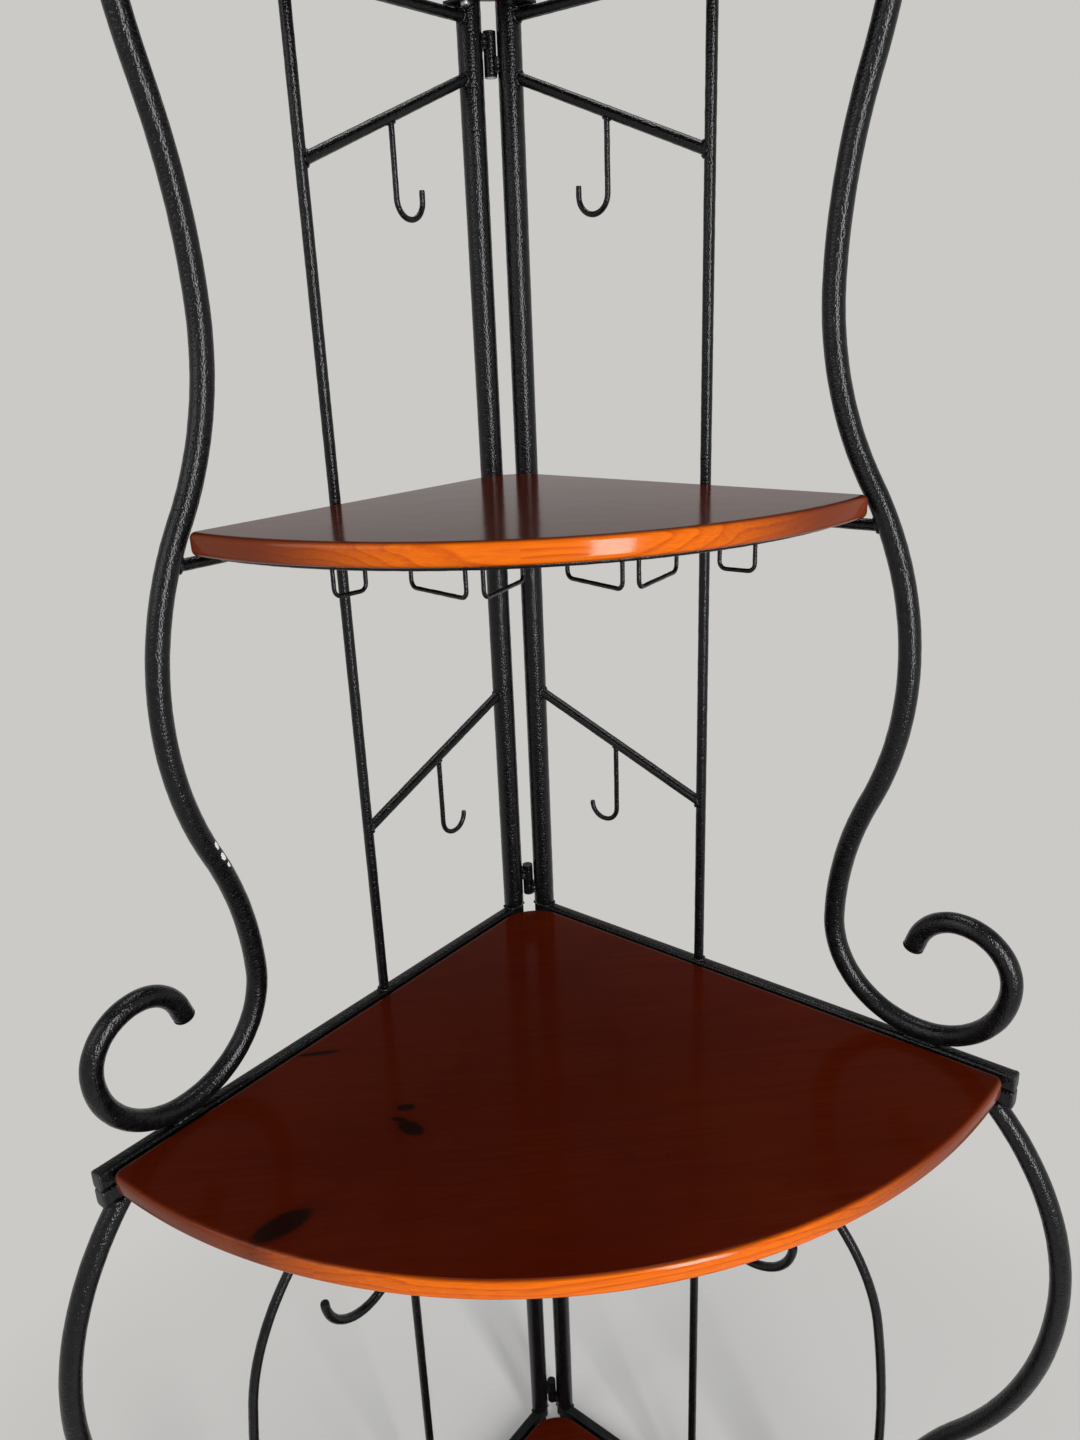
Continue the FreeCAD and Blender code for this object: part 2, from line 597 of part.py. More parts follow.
def stem_rack():
    """A bent bar under the middle board's front edge with wires in pairs that hold stemmed glasses."""
    under = shelf_tops["middle"] - size.board_thickness - size.weld_gap
    bar_radius = size.small_board_reach - size.stem_bar_setback
    bar_z = under - size.stem_bar_diameter / 2
    start_angle = degrees(asin((board_edge + size.stem_bar_margin) / bar_radius))
    flat_place = Placement(hinge_base + UP * bar_z, Rotation(Vector(1, 0, 0), 90))
    first = (bar_radius * cos(radians(start_angle)), bar_radius * sin(radians(start_angle)))

    def bar(radius):
        return swept(radius, first, start_angle + 90, [(bar_radius, 90 - 2 * start_angle)], flat_place)

    keep(bar("Sizes.stem_bar_diameter / 2"), "stem_bar")
    for slot in (-1, 0, 1):
        wires = [stem_wire(slot, hand, bar_radius, bar_z, under, bar) for hand in (-1, 1)]
        keep(group(*wires), f"stem_wires_{slot + 2}")


def stem_wire(slot, hand, bar_radius, bar_z, under, bar):
    """One wire: down from the bar, back under the board and up to its underside."""
    mouth = -pi / 4 + (slot * size.stem_mouth_pitch + hand * size.stem_mouth / 2) / bar_radius
    front = Vector(bar_radius * cos(mouth), bar_radius * sin(mouth), 0)
    depth = size.small_board_reach - size.stem_back_setback
    across = slot * size.stem_throat_pitch + hand * size.stem_throat / 2
    back = Vector((depth + across) * DIAGONAL, (across - depth) * DIAGONAL, 0)
    run = back - front
    moves = [(size.stem_drop - size.stem_bend, 0), (size.stem_bend, 90),
             (run.Length - 2 * size.stem_bend, 0), (size.stem_bend, 90),
             (under - bar_z + size.stem_drop - size.stem_bend, 0)]
    place = Placement(hinge_base + front, Rotation(Vector(1, 0, 0), run))
    wire = swept("Sizes.stem_wire / 2", (0, bar_z), -90, moves, place)
    return cut(wire, bar("Sizes.stem_bar_diameter / 2 + Sizes.weld_gap"))


for side in sides:
    lower_section(side)
    upper_section(side)
    tabs(side)
    end_plugs(side)
    section_bolts(side)
hinges(*sides)
for shelf in shelf_tops:
    board(shelf)
board_screws(sides[0])
stem_rack()

doc.recompute()
for item in doc.Objects:
    if {"Invalid", "Error"} & set(item.State):
        raise RuntimeError(f"{item.Name} {item.Label}: {item.State}")
for item in parts:
    if item.Shape.isNull() or not item.Shape.isValid():
        raise RuntimeError(f"{item.Label} has no valid shape")

os.makedirs("parts", exist_ok=True)
for item in parts:
    item.Shape.exportStep(f"parts/{item.Label}.step")
    print(item.Label, len(item.Shape.Solids), round(item.Shape.Volume))
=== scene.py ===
from math import asin, atan, cos, degrees, hypot, pi, radians, sin, sqrt

import bmesh
import bpy
from mathutils import Matrix, Vector


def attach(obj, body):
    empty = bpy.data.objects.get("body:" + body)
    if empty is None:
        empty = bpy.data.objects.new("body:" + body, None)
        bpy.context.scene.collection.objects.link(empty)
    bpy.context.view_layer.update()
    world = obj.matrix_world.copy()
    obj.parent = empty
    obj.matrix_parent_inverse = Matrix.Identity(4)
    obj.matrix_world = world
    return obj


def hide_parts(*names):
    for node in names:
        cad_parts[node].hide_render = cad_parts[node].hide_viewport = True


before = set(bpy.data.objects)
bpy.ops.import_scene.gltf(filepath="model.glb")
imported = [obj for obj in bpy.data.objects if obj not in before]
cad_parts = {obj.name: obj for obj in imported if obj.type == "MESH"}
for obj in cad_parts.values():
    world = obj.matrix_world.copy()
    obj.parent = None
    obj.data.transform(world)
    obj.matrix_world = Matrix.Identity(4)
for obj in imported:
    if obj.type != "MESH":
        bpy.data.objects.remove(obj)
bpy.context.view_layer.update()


# Black hammered paint
# All the steel of the rack has one thick coat of semi-gloss black paint with a pebbled, hammered
# surface that breaks up the light. It is sprayed on after welding, so it also covers the beads.

def connect(tree, node, inputs):
    """Fills a node's inputs, each with a value or another node's output."""
    for socket, source in inputs.items():
        if isinstance(source, bpy.types.NodeSocket):
            tree.links.new(source, node.inputs[socket])
        else:
            node.inputs[socket].default_value = source


def add_node(tree, kind, inputs=None, **settings):
    """A node with its settings and its inputs."""
    node = tree.nodes.new(kind)
    for name, value in settings.items():
        setattr(node, name, value)
    connect(tree, node, inputs or {})
    return node


def calc(tree, operation, first, second=0.0, third=0.0):
    """The result of one Math node, in a shader tree or a geometry tree."""
    node = add_node(tree, "ShaderNodeMath", {0: first, 1: second, 2: third}, operation=operation)
    return node.outputs[0]


def times(tree, value, factor):
    return calc(tree, "MULTIPLY", value, factor)


def scaled(tree, value, factor, plus):
    """A value times a factor, plus an amount."""
    return calc(tree, "MULTIPLY_ADD", value, factor, plus)


def calc_vector(tree, operation, first, second=(0.0, 0.0, 0.0)):
    """The result of one Vector Math node: its number where the operation gives one."""
    node = add_node(tree, "ShaderNodeVectorMath", {0: first, 1: second}, operation=operation)
    return node.outputs["Value" if operation in ("DOT_PRODUCT", "LENGTH") else "Vector"]


def merged(tree, operation, values):
    """Many values put together by one operation."""
    total = values[0]
    for value in values[1:]:
        total = calc(tree, operation, total, value)
    return total


def noise(tree, place, scale, detail):
    """The grey value of a noise texture."""
    inputs = {"Vector": place, "Scale": scale, "Detail": detail}
    return add_node(tree, "ShaderNodeTexNoise", inputs).outputs["Fac"]


def oval_distance(tree, place, centre, turn, halves):
    """The distance from the centre of a turned oval, 1 at the ends of its half axes."""
    away = add_node(tree, "ShaderNodeMapping", {
        "Vector": calc_vector(tree, "SUBTRACT", place, centre), "Rotation": turn})
    shares = tuple(1 / half for half in halves)
    return calc_vector(tree, "LENGTH", calc_vector(tree, "MULTIPLY", away.outputs[0], shares))


def bumped(tree, height, strength, distance):
    """The surface normal over a height."""
    inputs = {"Height": height, "Strength": strength, "Distance": distance}
    return add_node(tree, "ShaderNodeBump", inputs).outputs["Normal"]


def ramp(tree, factor, stops):
    """A colour ramp with the given (place, colour) stops."""
    node = add_node(tree, "ShaderNodeValToRGB", {"Fac": factor})
    elements = node.color_ramp.elements
    while len(elements) < len(stops):
        elements.new(1.0)
    for element, (place, colour) in zip(elements, stops):
        element.position = place
        element.color = (*colour, 1.0)
    return node.outputs["Color"]


def mix_colour(tree, factor, first, second):
    """Two colours mixed, each written out or another node's output."""
    first, second = ((*colour, 1.0) if isinstance(colour, tuple) else colour for colour in (first, second))
    return add_node(tree, "ShaderNodeMix", {0: factor, 6: first, 7: second}, data_type="RGBA").outputs[2]


def new_material(name, preview):
    """A material with an empty node tree, its shader and its object coordinates."""
    material = bpy.data.materials.new(name)
    material.use_nodes = True
    material.diffuse_color = (*preview, 1.0)
    tree = material.node_tree
    tree.nodes.clear()
    shader = tree.nodes.new("ShaderNodeBsdfPrincipled")
    add_node(tree, "ShaderNodeOutputMaterial", {"Surface": shader.outputs["BSDF"]})
    place = tree.nodes.new("ShaderNodeTexCoord").outputs["Object"]
    return material, tree, shader, place


paint_black = (0.0018, 0.0020, 0.0023)
paint_grey = (0.0052, 0.0057, 0.0066)
primer_white = (0.78, 0.78, 0.75)
pebble_size = 0.0021
pebble_relief = 0.00034
chip_lean = radians(22.5)
chip_raggedness = 0.9
chip_limit = 1.45
chip_places = (
    ((-0.2797, -0.0832, 0.9852), 0.0034, 0.0022),
    ((-0.2797, -0.0793, 0.9743), 0.0040, 0.0023),
    ((-0.2799, -0.0757, 0.9656), 0.0023, 0.0016),
)


def hammered_paint():
    """Black paint with pebbled relief, faint grey mottling and a few chips down to the primer."""
    material, tree, shader, place = new_material("hammered_black_paint", paint_grey)
    pebbles = add_node(tree, "ShaderNodeTexVoronoi", {
        "Vector": place, "Scale": 1 / pebble_size, "Randomness": 0.9}).outputs["Distance"]
    mottle = noise(tree, place, 210.0, 3.0)
    chip_edge = noise(tree, place, 700.0, 2.0)
    chips = []
    for centre, half_length, half_width in chip_places:
        halves = (half_width, half_width, half_length)
        spread = oval_distance(tree, place, centre, (-chip_lean, 0.0, 0.0), halves)
        ragged = scaled(tree, chip_edge, chip_raggedness, spread)
        chips.append(calc(tree, "LESS_THAN", ragged, chip_limit))
    chipped = merged(tree, "MAXIMUM", chips)
    tone = ramp(tree, mottle, ((0.35, paint_black), (0.7, paint_grey)))
    gloss = scaled(tree, mottle, 0.14, 0.14)
    dome = calc(tree, "SUBTRACT", 1.0, calc(tree, "POWER", pebbles, 3.0))
    height = scaled(tree, noise(tree, place, 1300.0, 2.0), 0.22, dome)
    height = scaled(tree, chipped, -0.5, height)
    connect(tree, shader, {
        "Base Color": mix_colour(tree, chipped, tone, primer_white),
        "Roughness": scaled(tree, chipped, 0.35, gloss),
        "Normal": bumped(tree, height, 1.0, pebble_relief), "Specular IOR Level": 0.27})
    return material


black_paint = hammered_paint()
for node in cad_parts.values():
    node.data.materials.clear()
    node.data.materials.append(black_paint)


# Upper side frames
# Each side of the upper section is one weldment of mild steel: a back post and a thinner S-shaped
# front tube, and an upright, two shelf supports, two hook bars and their hooks of round rod.

sides = ("left", "right")
hinge_axis = Vector((-0.27525, 0.27525, 0.0))
plane_offset = 0.0115
post_radius = 0.0105
tube_radius = 0.00875
rod_radius = 0.00475
hook_radius = 0.0025
post_reach = 0.0115
upright_reach = 0.202
main_rail_top = 0.7701
post_top = 1.6261
support_heights = (1.19895, 1.58595)
low_waist = (0.3355, 0.86295)
low_bulge = (0.383, 1.0861)
high_waist = (0.306, 1.3691)
high_bulge = (0.344, 1.6401)
scroll_radii = (0.084, 0.065, 0.044, 0.034)
crest_radii = (0.066, 0.050, 0.036, 0.028)
scroll_end_turn = 72
scroll_tail = 0.0095
hook_bars = ((1.0121, 0.068, 0.001), (1.5451, 0.058, 0.008))
hook_bar_slant = 0.078
hook_reach = 0.108
hook_bend = 0.0145
arc_step = 0.0025


def on_frame(side, x, z, inside=0.0):
    """A point of a side frame: x out from the hinge axis, inside from its plane towards the boards."""
    if side == "left":
        return Vector((hinge_axis.x - plane_offset + inside, hinge_axis.y - x, z))
    return Vector((hinge_axis.x + x, hinge_axis.y + plane_offset - inside, z))


def bent_path(start, heading, moves):
    """Points of a flat path of straight runs, (length, 0), and arcs, (radius, left-hand turn)."""
    points = [start]
    facing = radians(heading)
    for reach, turn in moves:
        x, z = points[-1]
        if turn == 0:
            points.append((x + reach * cos(facing), z + reach * sin(facing)))
            continue
        radius = reach if turn > 0 else -reach
        pieces = max(4, int(abs(radians(turn)) * reach / arc_step))
        for piece in range(1, pieces + 1):
            angle = facing + radians(turn) * piece / pieces
            points.append((x - radius * (sin(facing) - sin(angle)), z + radius * (cos(facing) - cos(angle))))
        facing += radians(turn)
    return points


def s_bend(low, high):
    """Two equal arcs that join two upright points of a tube."""
    width, height = high[0] - low[0], high[1] - low[1]
    radius = (width ** 2 + height ** 2) / (4 * abs(width))
    turn = degrees(2 * atan(width / height))
    return [(radius, -turn), (radius, turn)]


def scroll(radii):
    """A tightening scroll with a short straight tail."""
    return [*[(radius, 90) for radius in radii[:-1]], (radii[-1], scroll_end_turn), (scroll_tail, 0)]


front_tube = list(reversed(bent_path(low_waist, -90, scroll(scroll_radii))))
front_tube += bent_path(low_waist, 90, s_bend(low_waist, low_bulge) + s_bend(low_bulge, high_waist)
                        + s_bend(high_waist, high_bulge) + scroll(crest_radii))[1:]


def unit(x, z):
    return x / hypot(x, z), z / hypot(x, z)


def front_tube_at(height):
    """How far out the S-shaped tube passes a height, and its direction there."""
    rising = [(a, b) for a, b in zip(front_tube, front_tube[1:]) if a[1] <= height < b[1]]
    a, b = min(rising, key=lambda pair: abs(pair[0][0] - low_bulge[0]))
    share = (height - a[1]) / (b[1] - a[1])
    return a[0] + share * (b[0] - a[0]), unit(b[0] - a[0], b[1] - a[1])


def new_object(name, data):
    made = bpy.data.objects.new(name, data)
    bpy.context.scene.collection.objects.link(made)
    return made


def path_mesh(name, paths):
    """A wire mesh of (points, radius, closed) paths, with the radius kept on its points."""
    mesh = bpy.data.meshes.new(name)
    points, edges, radii = [], [], []
    for path, radius, closed in paths:
        first = len(points)
        points += path
        radii += [radius] * len(path)
        edges += [(first + i, first + i + 1) for i in range(len(path) - 1)]
        if closed:
            edges.append((len(points) - 1, first))
    mesh.from_pydata([tuple(point) for point in points], edges, [])
    mesh.attributes.new("thickness", "FLOAT", "POINT").data.foreach_set("value", radii)
    return mesh


def new_tree(name, inputs):
    """A Geometry Nodes tree with a geometry in and out and the named inputs, and its input node."""
    tree = bpy.data.node_groups.new(name, "GeometryNodeTree")
    for way in ("INPUT", "OUTPUT"):
        tree.interface.new_socket("Geometry", in_out=way, socket_type="NodeSocketGeometry")
    for label, kind in inputs.items():
        tree.interface.new_socket(label, in_out="INPUT", socket_type="NodeSocket" + kind)
    return tree, tree.nodes.new("NodeGroupInput").outputs


def close_tree(tree, geometry, material):
    """Ends a tree in Realize Instances and Set Material."""
    real = add_node(tree, "GeometryNodeRealizeInstances", {"Geometry": geometry})
    painted = add_node(tree, "GeometryNodeSetMaterial", {"Geometry": real.outputs[0], "Material": material})
    add_node(tree, "NodeGroupOutput", {0: painted.outputs[0]})


def grown(name, paths, tree, values):
    """A new object with the plain mesh that a tree makes of paths."""
    carrier = new_object(name + "_paths", path_mesh(name, paths))
    modifier = carrier.modifiers.new("shape", "NODES")
    modifier.node_group = tree
    for item in tree.interface.items_tree:
        if item.in_out == "INPUT" and item.name in values:
            modifier[item.identifier] = values[item.name]
    carrier.update_tag()
    evaluated = carrier.evaluated_get(bpy.context.evaluated_depsgraph_get())
    shape = bpy.data.meshes.new_from_object(evaluated)
    carrier.modifiers.remove(modifier)
    bpy.data.objects.remove(carrier)
    return new_object(name, shape)


def even_line(tree, given):
    """The paths as curves with even steps, their thickness and the length along them."""
    thickness = add_node(tree, "GeometryNodeInputNamedAttribute", {"Name": "thickness"}, data_type="FLOAT")
    line = add_node(tree, "GeometryNodeMeshToCurve", {"Mesh": given["Geometry"]})
    line = add_node(tree, "GeometryNodeResampleCurve", {
        "Curve": line.outputs[0], "Length": given["Step"]}, mode="LENGTH")
    run = add_node(tree, "GeometryNodeSplineParameter")
    return line.outputs[0], thickness.outputs["Attribute"], run.outputs["Length"]


def skin_line(tree, given, line, radius, facets, way, push):
    """Ends a tree in smooth painted stock along curves, its points pushed some way."""
    ring = add_node(tree, "GeometryNodeCurvePrimitiveCircle", {"Resolution": facets, "Radius": 1.0})
    skin = add_node(tree, "GeometryNodeCurveToMesh", {
        "Curve": line, "Profile Curve": ring.outputs[0], "Scale": radius, "Fill Caps": True})
    shift = add_node(tree, "ShaderNodeVectorMath", {0: way, "Scale": push}, operation="SCALE")
    skin = add_node(tree, "GeometryNodeSetPosition", {
        "Geometry": skin.outputs[0], "Offset": shift.outputs[0]})
    skin = add_node(tree, "GeometryNodeSetShadeSmooth", {"Geometry": skin.outputs[0]})
    close_tree(tree, skin.outputs[0], given["Paint"])


def painted_bar_tree():
    """Round bar along paths: even rings, eased ends and the soft unevenness of thick paint."""
    tree, given = new_tree("painted_bar", {
        "Sides": "Int", "Step": "Float", "Unevenness": "Float", "Lump Size": "Float", "End Ease": "Float",
        "Paint": "Material"})
    line, thickness, run = even_line(tree, given)
    whole = add_node(tree, "GeometryNodeSplineLength").outputs["Length"]
    to_end = calc(tree, "MINIMUM", run, calc(tree, "SUBTRACT", whole, run))
    ease = calc(tree, "EXPONENT", calc(tree, "DIVIDE", times(tree, to_end, -1.0), given["End Ease"]))
    radius = times(tree, thickness, scaled(tree, ease, -0.12, 1.0))
    place = add_node(tree, "GeometryNodeInputPosition").outputs[0]
    lump = noise(tree, place, calc(tree, "DIVIDE", 1.0, given["Lump Size"]), 1.0)
    swell = times(tree, calc(tree, "SUBTRACT", lump, 0.95), given["Unevenness"])
    normal = add_node(tree, "GeometryNodeInputNormal").outputs[0]
    skin_line(tree, given, line, radius, given["Sides"], normal, swell)
    return tree


bar_tree = painted_bar_tree()


def painted_bars(name, paths, body, replaced, facets, step):
    piece = grown(name, paths, bar_tree, {
        "Sides": facets, "Step": step, "Unevenness": 0.0004, "Lump Size": 0.007,
        "End Ease": 0.0006, "Paint": black_paint})
    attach(piece, body)
    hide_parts(*replaced)
    return piece


def hook_bar_line(height):
    """The two ends of a hook bar on the post's and the upright's lines."""
    return (post_reach, height), (upright_reach, height - hook_bar_slant)


def hook_root(height):
    """Where a hook leaves its bar."""
    share = (hook_reach - post_reach) / (upright_reach - post_reach)
    return hook_reach, height - share * hook_bar_slant


def bar(side, points, radius):
    return [on_frame(side, x, z) for x, z in points], radius, False


for side in sides:
    painted_bars(f"{side}_upper_tubes", [
        bar(side, [(post_reach, main_rail_top), (post_reach, post_top)], post_radius),
        bar(side, front_tube, tube_radius)], f"{side}_frame",
        [f"{side}_upper_post", f"{side}_front_tube"], facets=30, step=0.002)
    rods = [bar(side, [(upright_reach, main_rail_top), (upright_reach, support_heights[1])], rod_radius)]
    for height in support_heights:
        rods.append(bar(side, [(post_reach, height), (front_tube_at(height)[0], height)], rod_radius))
    for height, shank, tip in hook_bars:
        hook = bent_path(hook_root(height), -90, [(shank, 0), (hook_bend, -180), (tip, 0)])
        rods += [bar(side, hook_bar_line(height), rod_radius), bar(side, hook, hook_radius)]
    painted_bars(f"{side}_upper_rods", rods, f"{side}_frame", [f"{side}_{name}" for name in (
        "upper_upright", "middle_support", "top_support", "low_hook_bar", "high_hook_bar",
        "low_hook", "high_hook")], facets=18, step=0.0016)


# Lower side frames
# The lower section is a wider weldment of the same stock: a back post, an upright, a bowed front
# leg of tube that ends in a scroll on the foot rail, and a C-shaped scroll of round rod.

foot_rail_top = 0.027
lower_rail_bottom = 0.738
weld_gap = 0.0001
leg_top = (0.479, lower_rail_bottom)
leg_bulge = (0.552, 0.562)
leg_waist = (0.424, 0.16535)
leg_shin = 0.052
foot_scroll_radii = (0.0775, 0.06225, 0.042, 0.033)
bow_middle = (0.41592, 0.28743)
bow_up = ((1.0, 8.627), (0.190, 36.373), (0.08172, 135), (0.0546, 90), (0.0483, 90))
bow_down = ((1.0, -7.955), (0.170, -37.045), (0.070, -135), (0.044, -90), (0.038, -90))

leg_out, leg_drop = leg_bulge[0] - leg_top[0], leg_top[1] - leg_bulge[1]
leg_top_radius = (leg_out ** 2 + leg_drop ** 2) / (2 * leg_out)
leg_top_turn = degrees(asin(leg_drop / leg_top_radius))
leg_heading = leg_top_turn - 90
leg_bends = [(radius, -turn) for radius, turn in reversed(s_bend(leg_waist, leg_bulge))]
front_leg = bent_path(leg_top, leg_heading, [
    (leg_top_radius, -leg_top_turn), *leg_bends, (leg_shin, 0), *scroll(foot_scroll_radii)])
scroll_rod = list(reversed(bent_path(bow_middle, -90, bow_down))) + bent_path(bow_middle, 90, bow_up)[1:]

for side in sides:
    tubes = painted_bars(f"{side}_lower_tubes", [
        bar(side, [(post_reach, foot_rail_top), (post_reach, lower_rail_bottom)], post_radius),
        bar(side, front_leg, tube_radius)], f"{side}_frame",
        [f"{side}_lower_post", f"{side}_leg"], facets=30, step=0.002)
    for point in tubes.data.vertices:
        point.co.z = min(point.co.z, lower_rail_bottom - weld_gap)
    painted_bars(f"{side}_lower_rods", [
        bar(side, [(upright_reach, foot_rail_top), (upright_reach, lower_rail_bottom)], rod_radius),
        bar(side, scroll_rod, rod_radius)], f"{side}_frame",
        [f"{side}_lower_upright", f"{side}_scroll_rod"], facets=18, step=0.0016)


# Rails
# Rectangular tube with well rounded corners: one rail is the foot, and two lie on each other under
# the main board, where the upper section stands on the lower one. They are welded to the posts.

rail_half_width = 0.006
rail_corner = 0.0034
rail_start = 0.004
rail_steps = 40
rails = (("foot_rail", 0.008, 0.027, 0.5185), ("lower_rail", 0.738, 0.754, 0.496),
         ("upper_rail", 0.7541, 0.7701, 0.496))


def rail_outline(low, high, inset):
    """The rounded outline of a rail, drawn in by an inset, as (height, inside) points."""
    round_off = rail_corner - 0.6 * inset
    points = []
    for quarter, (across, up) in enumerate(((1, 1), (-1, 1), (-1, -1), (1, -1))):
        middle = (high + low) / 2 + up * ((high - low) / 2 - inset - round_off)
        inside = across * (rail_half_width - inset - round_off)
        for step in range(6):
            turn = pi / 2 * (quarter + step / 5)
            points.append((middle + round_off * sin(turn), inside + round_off * cos(turn)))
    return points


def rail_ring(shape, side, x, low, high, inset):
    return [shape.verts.new(on_frame(side, x, z, inside)) for z, inside in rail_outline(low, high, inset)]


def circle(radius, pieces=24):
    return [(radius * cos(2 * pi * i / pieces), radius * sin(2 * pi * i / pieces)) for i in range(pieces)]


def join_rings(shape, rings):
    for lower, upper in zip(rings, rings[1:]):
        for i in range(len(lower)):
            j = (i + 1) % len(lower)
            shape.faces.new((lower[i], lower[j], upper[j], upper[i]))


def close_rings(shape, rings):
    """Joins rings and closes the first and the last."""
    join_rings(shape, rings)
    shape.faces.new(rings[0])
    shape.faces.new(rings[-1])


def closed_mesh(shape):
    bmesh.ops.recalc_face_normals(shape, faces=shape.faces)
    mesh = bpy.data.meshes.new("shape")
    shape.to_mesh(mesh)
    shape.free()
    return mesh


def smooth_piece(name, mesh, material, body, replaced):
    """A piece with one finish, smooth but for its sharp corners."""
    mesh.name = name
    mesh.materials.append(material)
    mesh.polygons.foreach_set("use_smooth", [True] * len(mesh.polygons))
    mesh.set_sharp_from_angle(angle=radians(50))
    piece = new_object(name, mesh)
    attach(piece, body)
    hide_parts(*replaced)


for side in sides:
    shape = bmesh.new()
    for name, low, high, far in rails:
        reaches = [rail_start + (far - rail_start) * i / rail_steps for i in range(rail_steps + 1)]
        close_rings(shape, [rail_ring(shape, side, x, low, high, 0.0) for x in reaches])
    smooth_piece(f"{side}_painted_rails", closed_mesh(shape), black_paint, f"{side}_frame",
                 [f"{side}_{name}" for name, low, high, far in rails])


# Weld beads
# The bars of a frame are welded where they meet, by hand, and the beads are left as they are:
# uneven rings round the rods' ends and short runs beside tubes that lie on a rail.

def weld_bead_tree():
    """Beads along paths: a thick line whose width ripples and wanders."""
    tree, given = new_tree("weld_bead", {
        "Step": "Float", "Ripple": "Float", "Wander": "Float", "Paint": "Material"})
    line, thickness, run = even_line(tree, given)
    wave = calc(tree, "SINE", times(tree, calc(tree, "DIVIDE", run, given["Ripple"]), 2 * pi))
    place = add_node(tree, "GeometryNodeInputPosition").outputs[0]
    swell = scaled(tree, noise(tree, place, 330.0, 1.0), 1.1, 0.42)
    radius = times(tree, thickness, scaled(tree, wave, 0.10, swell))
    stray = noise(tree, place, 520.0, 1.0).node.outputs["Color"]
    way = calc_vector(tree, "SUBTRACT", stray, (0.5, 0.5, 0.5))
    skin_line(tree, given, line, radius, 10, way, given["Wander"])
    return tree


bead_tree = weld_bead_tree()
tube_bead = 0.0021
leg_bead = 0.002625
post_bead = 0.0014
rod_bead = 0.0016
hook_bead = 0.0012
hinge_bead = 0.0035
rail_half = 0.0062
swing_clearance = 0.0028
ring_points = 40
tube_seam = (0.026, 0.0052)
tube_seam_rise = 0.0012
toe_seam = (0.016, 0.0034)
toe_seam_rise = 0.0008
upright_seam = (0.014, 0.0036)
leg_seam = (0.016, 0.0040)
leg_seam_place = (0.4167, 0.1968)
leg_seam_way = (-0.09, 1)
tab_near = 0.033
tab_share = 0.84
tab_half_weld = 0.007
tab_seats = ((0.490, 0.7508, 0.0065), (0.490, 0.0077, 0.0065),
             (0.348, 1.2038, 0.0032), (0.348, 1.5908, 0.0032))
rail_end_back = 0.0012
rail_end_inset = 0.0009
hinge_places = (0.040, 0.6917, 0.7831, 1.5431)
cap_rise = 0.0168
valley_out = 0.0052
valley_front = 0.0046
valley_start = 0.0030
valley_length = 0.01089


def joint_ring(end, along, radius, normal, other_radius=0.0, widest=1.0, bead=rod_bead):
    """The bead where a bar meets a bar or, with no other radius, a flat face through the same end.

    along is the bar's direction from that end, normal the direction across the other bar, and
    widest the half width of a narrow rail. Rings keep off the hinge axis, where the frames come
    end to end when one is swung right out.
    """
    (run_x, run_z), (way_x, way_z) = unit(*along), normal
    lean = run_x * way_x + run_z * way_z
    slant = run_x * way_z - run_z * way_x
    points = []
    for high, deep in circle(radius, ring_points):
        reach = (sqrt(max(other_radius ** 2 - deep ** 2, 0.0)) - high * slant) / lean
        x = end[0] + reach * run_x - high * run_z
        z = end[1] + reach * run_z + high * run_x
        points.append((max(x, swing_clearance), z, max(-widest, min(widest, deep))))
    return points, bead, True


def seam(middle, along, size, bead):
    """Two short beads, one each side of a frame's plane, beside a line of contact."""
    length, apart = size
    run = unit(*along)
    return [([(middle[0] + run[0] * reach, middle[1] + run[1] * reach, inside)
              for reach in (-length / 2, length / 2)], bead, False) for inside in (-apart, apart)]


def upper_beads():
    """An upper frame's beads: at its bars' ends, and beside the scroll on its rail."""
    post_foot, rod_foot = (post_reach, main_rail_top), (upright_reach, main_rail_top)
    beads = [joint_ring(post_foot, (0, 1), post_radius, (0, 1), widest=rail_half, bead=post_bead),
             joint_ring(rod_foot, (0, 1), rod_radius, (0, 1))]
    for height in support_heights:
        end, (across, rise) = front_tube_at(height)
        beads += [joint_ring((post_reach, height), (1, 0), rod_radius, (1, 0), post_radius),
                  joint_ring((end, height), (-1, 0), rod_radius, (-rise, across), tube_radius),
                  joint_ring((upright_reach, height), (0, -1), rod_radius, (0, -1), rod_radius)]
    beads.append(joint_ring((upright_reach, support_heights[0]), (0, 1), rod_radius, (0, 1), rod_radius))
    for height, _, _ in hook_bars:
        near, far = hook_bar_line(height)
        slope = unit(far[0] - near[0], far[1] - near[1])
        below = (slope[1], -slope[0])
        beads += [joint_ring(near, slope, rod_radius, (1, 0), post_radius),
                  joint_ring(far, (-slope[0], -slope[1]), rod_radius, (-1, 0), rod_radius),
                  joint_ring(hook_root(height), (0, -1), hook_radius, below, rod_radius, bead=hook_bead)]
    scroll_foot = (low_waist[0] + scroll_radii[0], main_rail_top + tube_seam_rise)
    return beads + seam(scroll_foot, (1, 0), tube_seam, tube_bead)


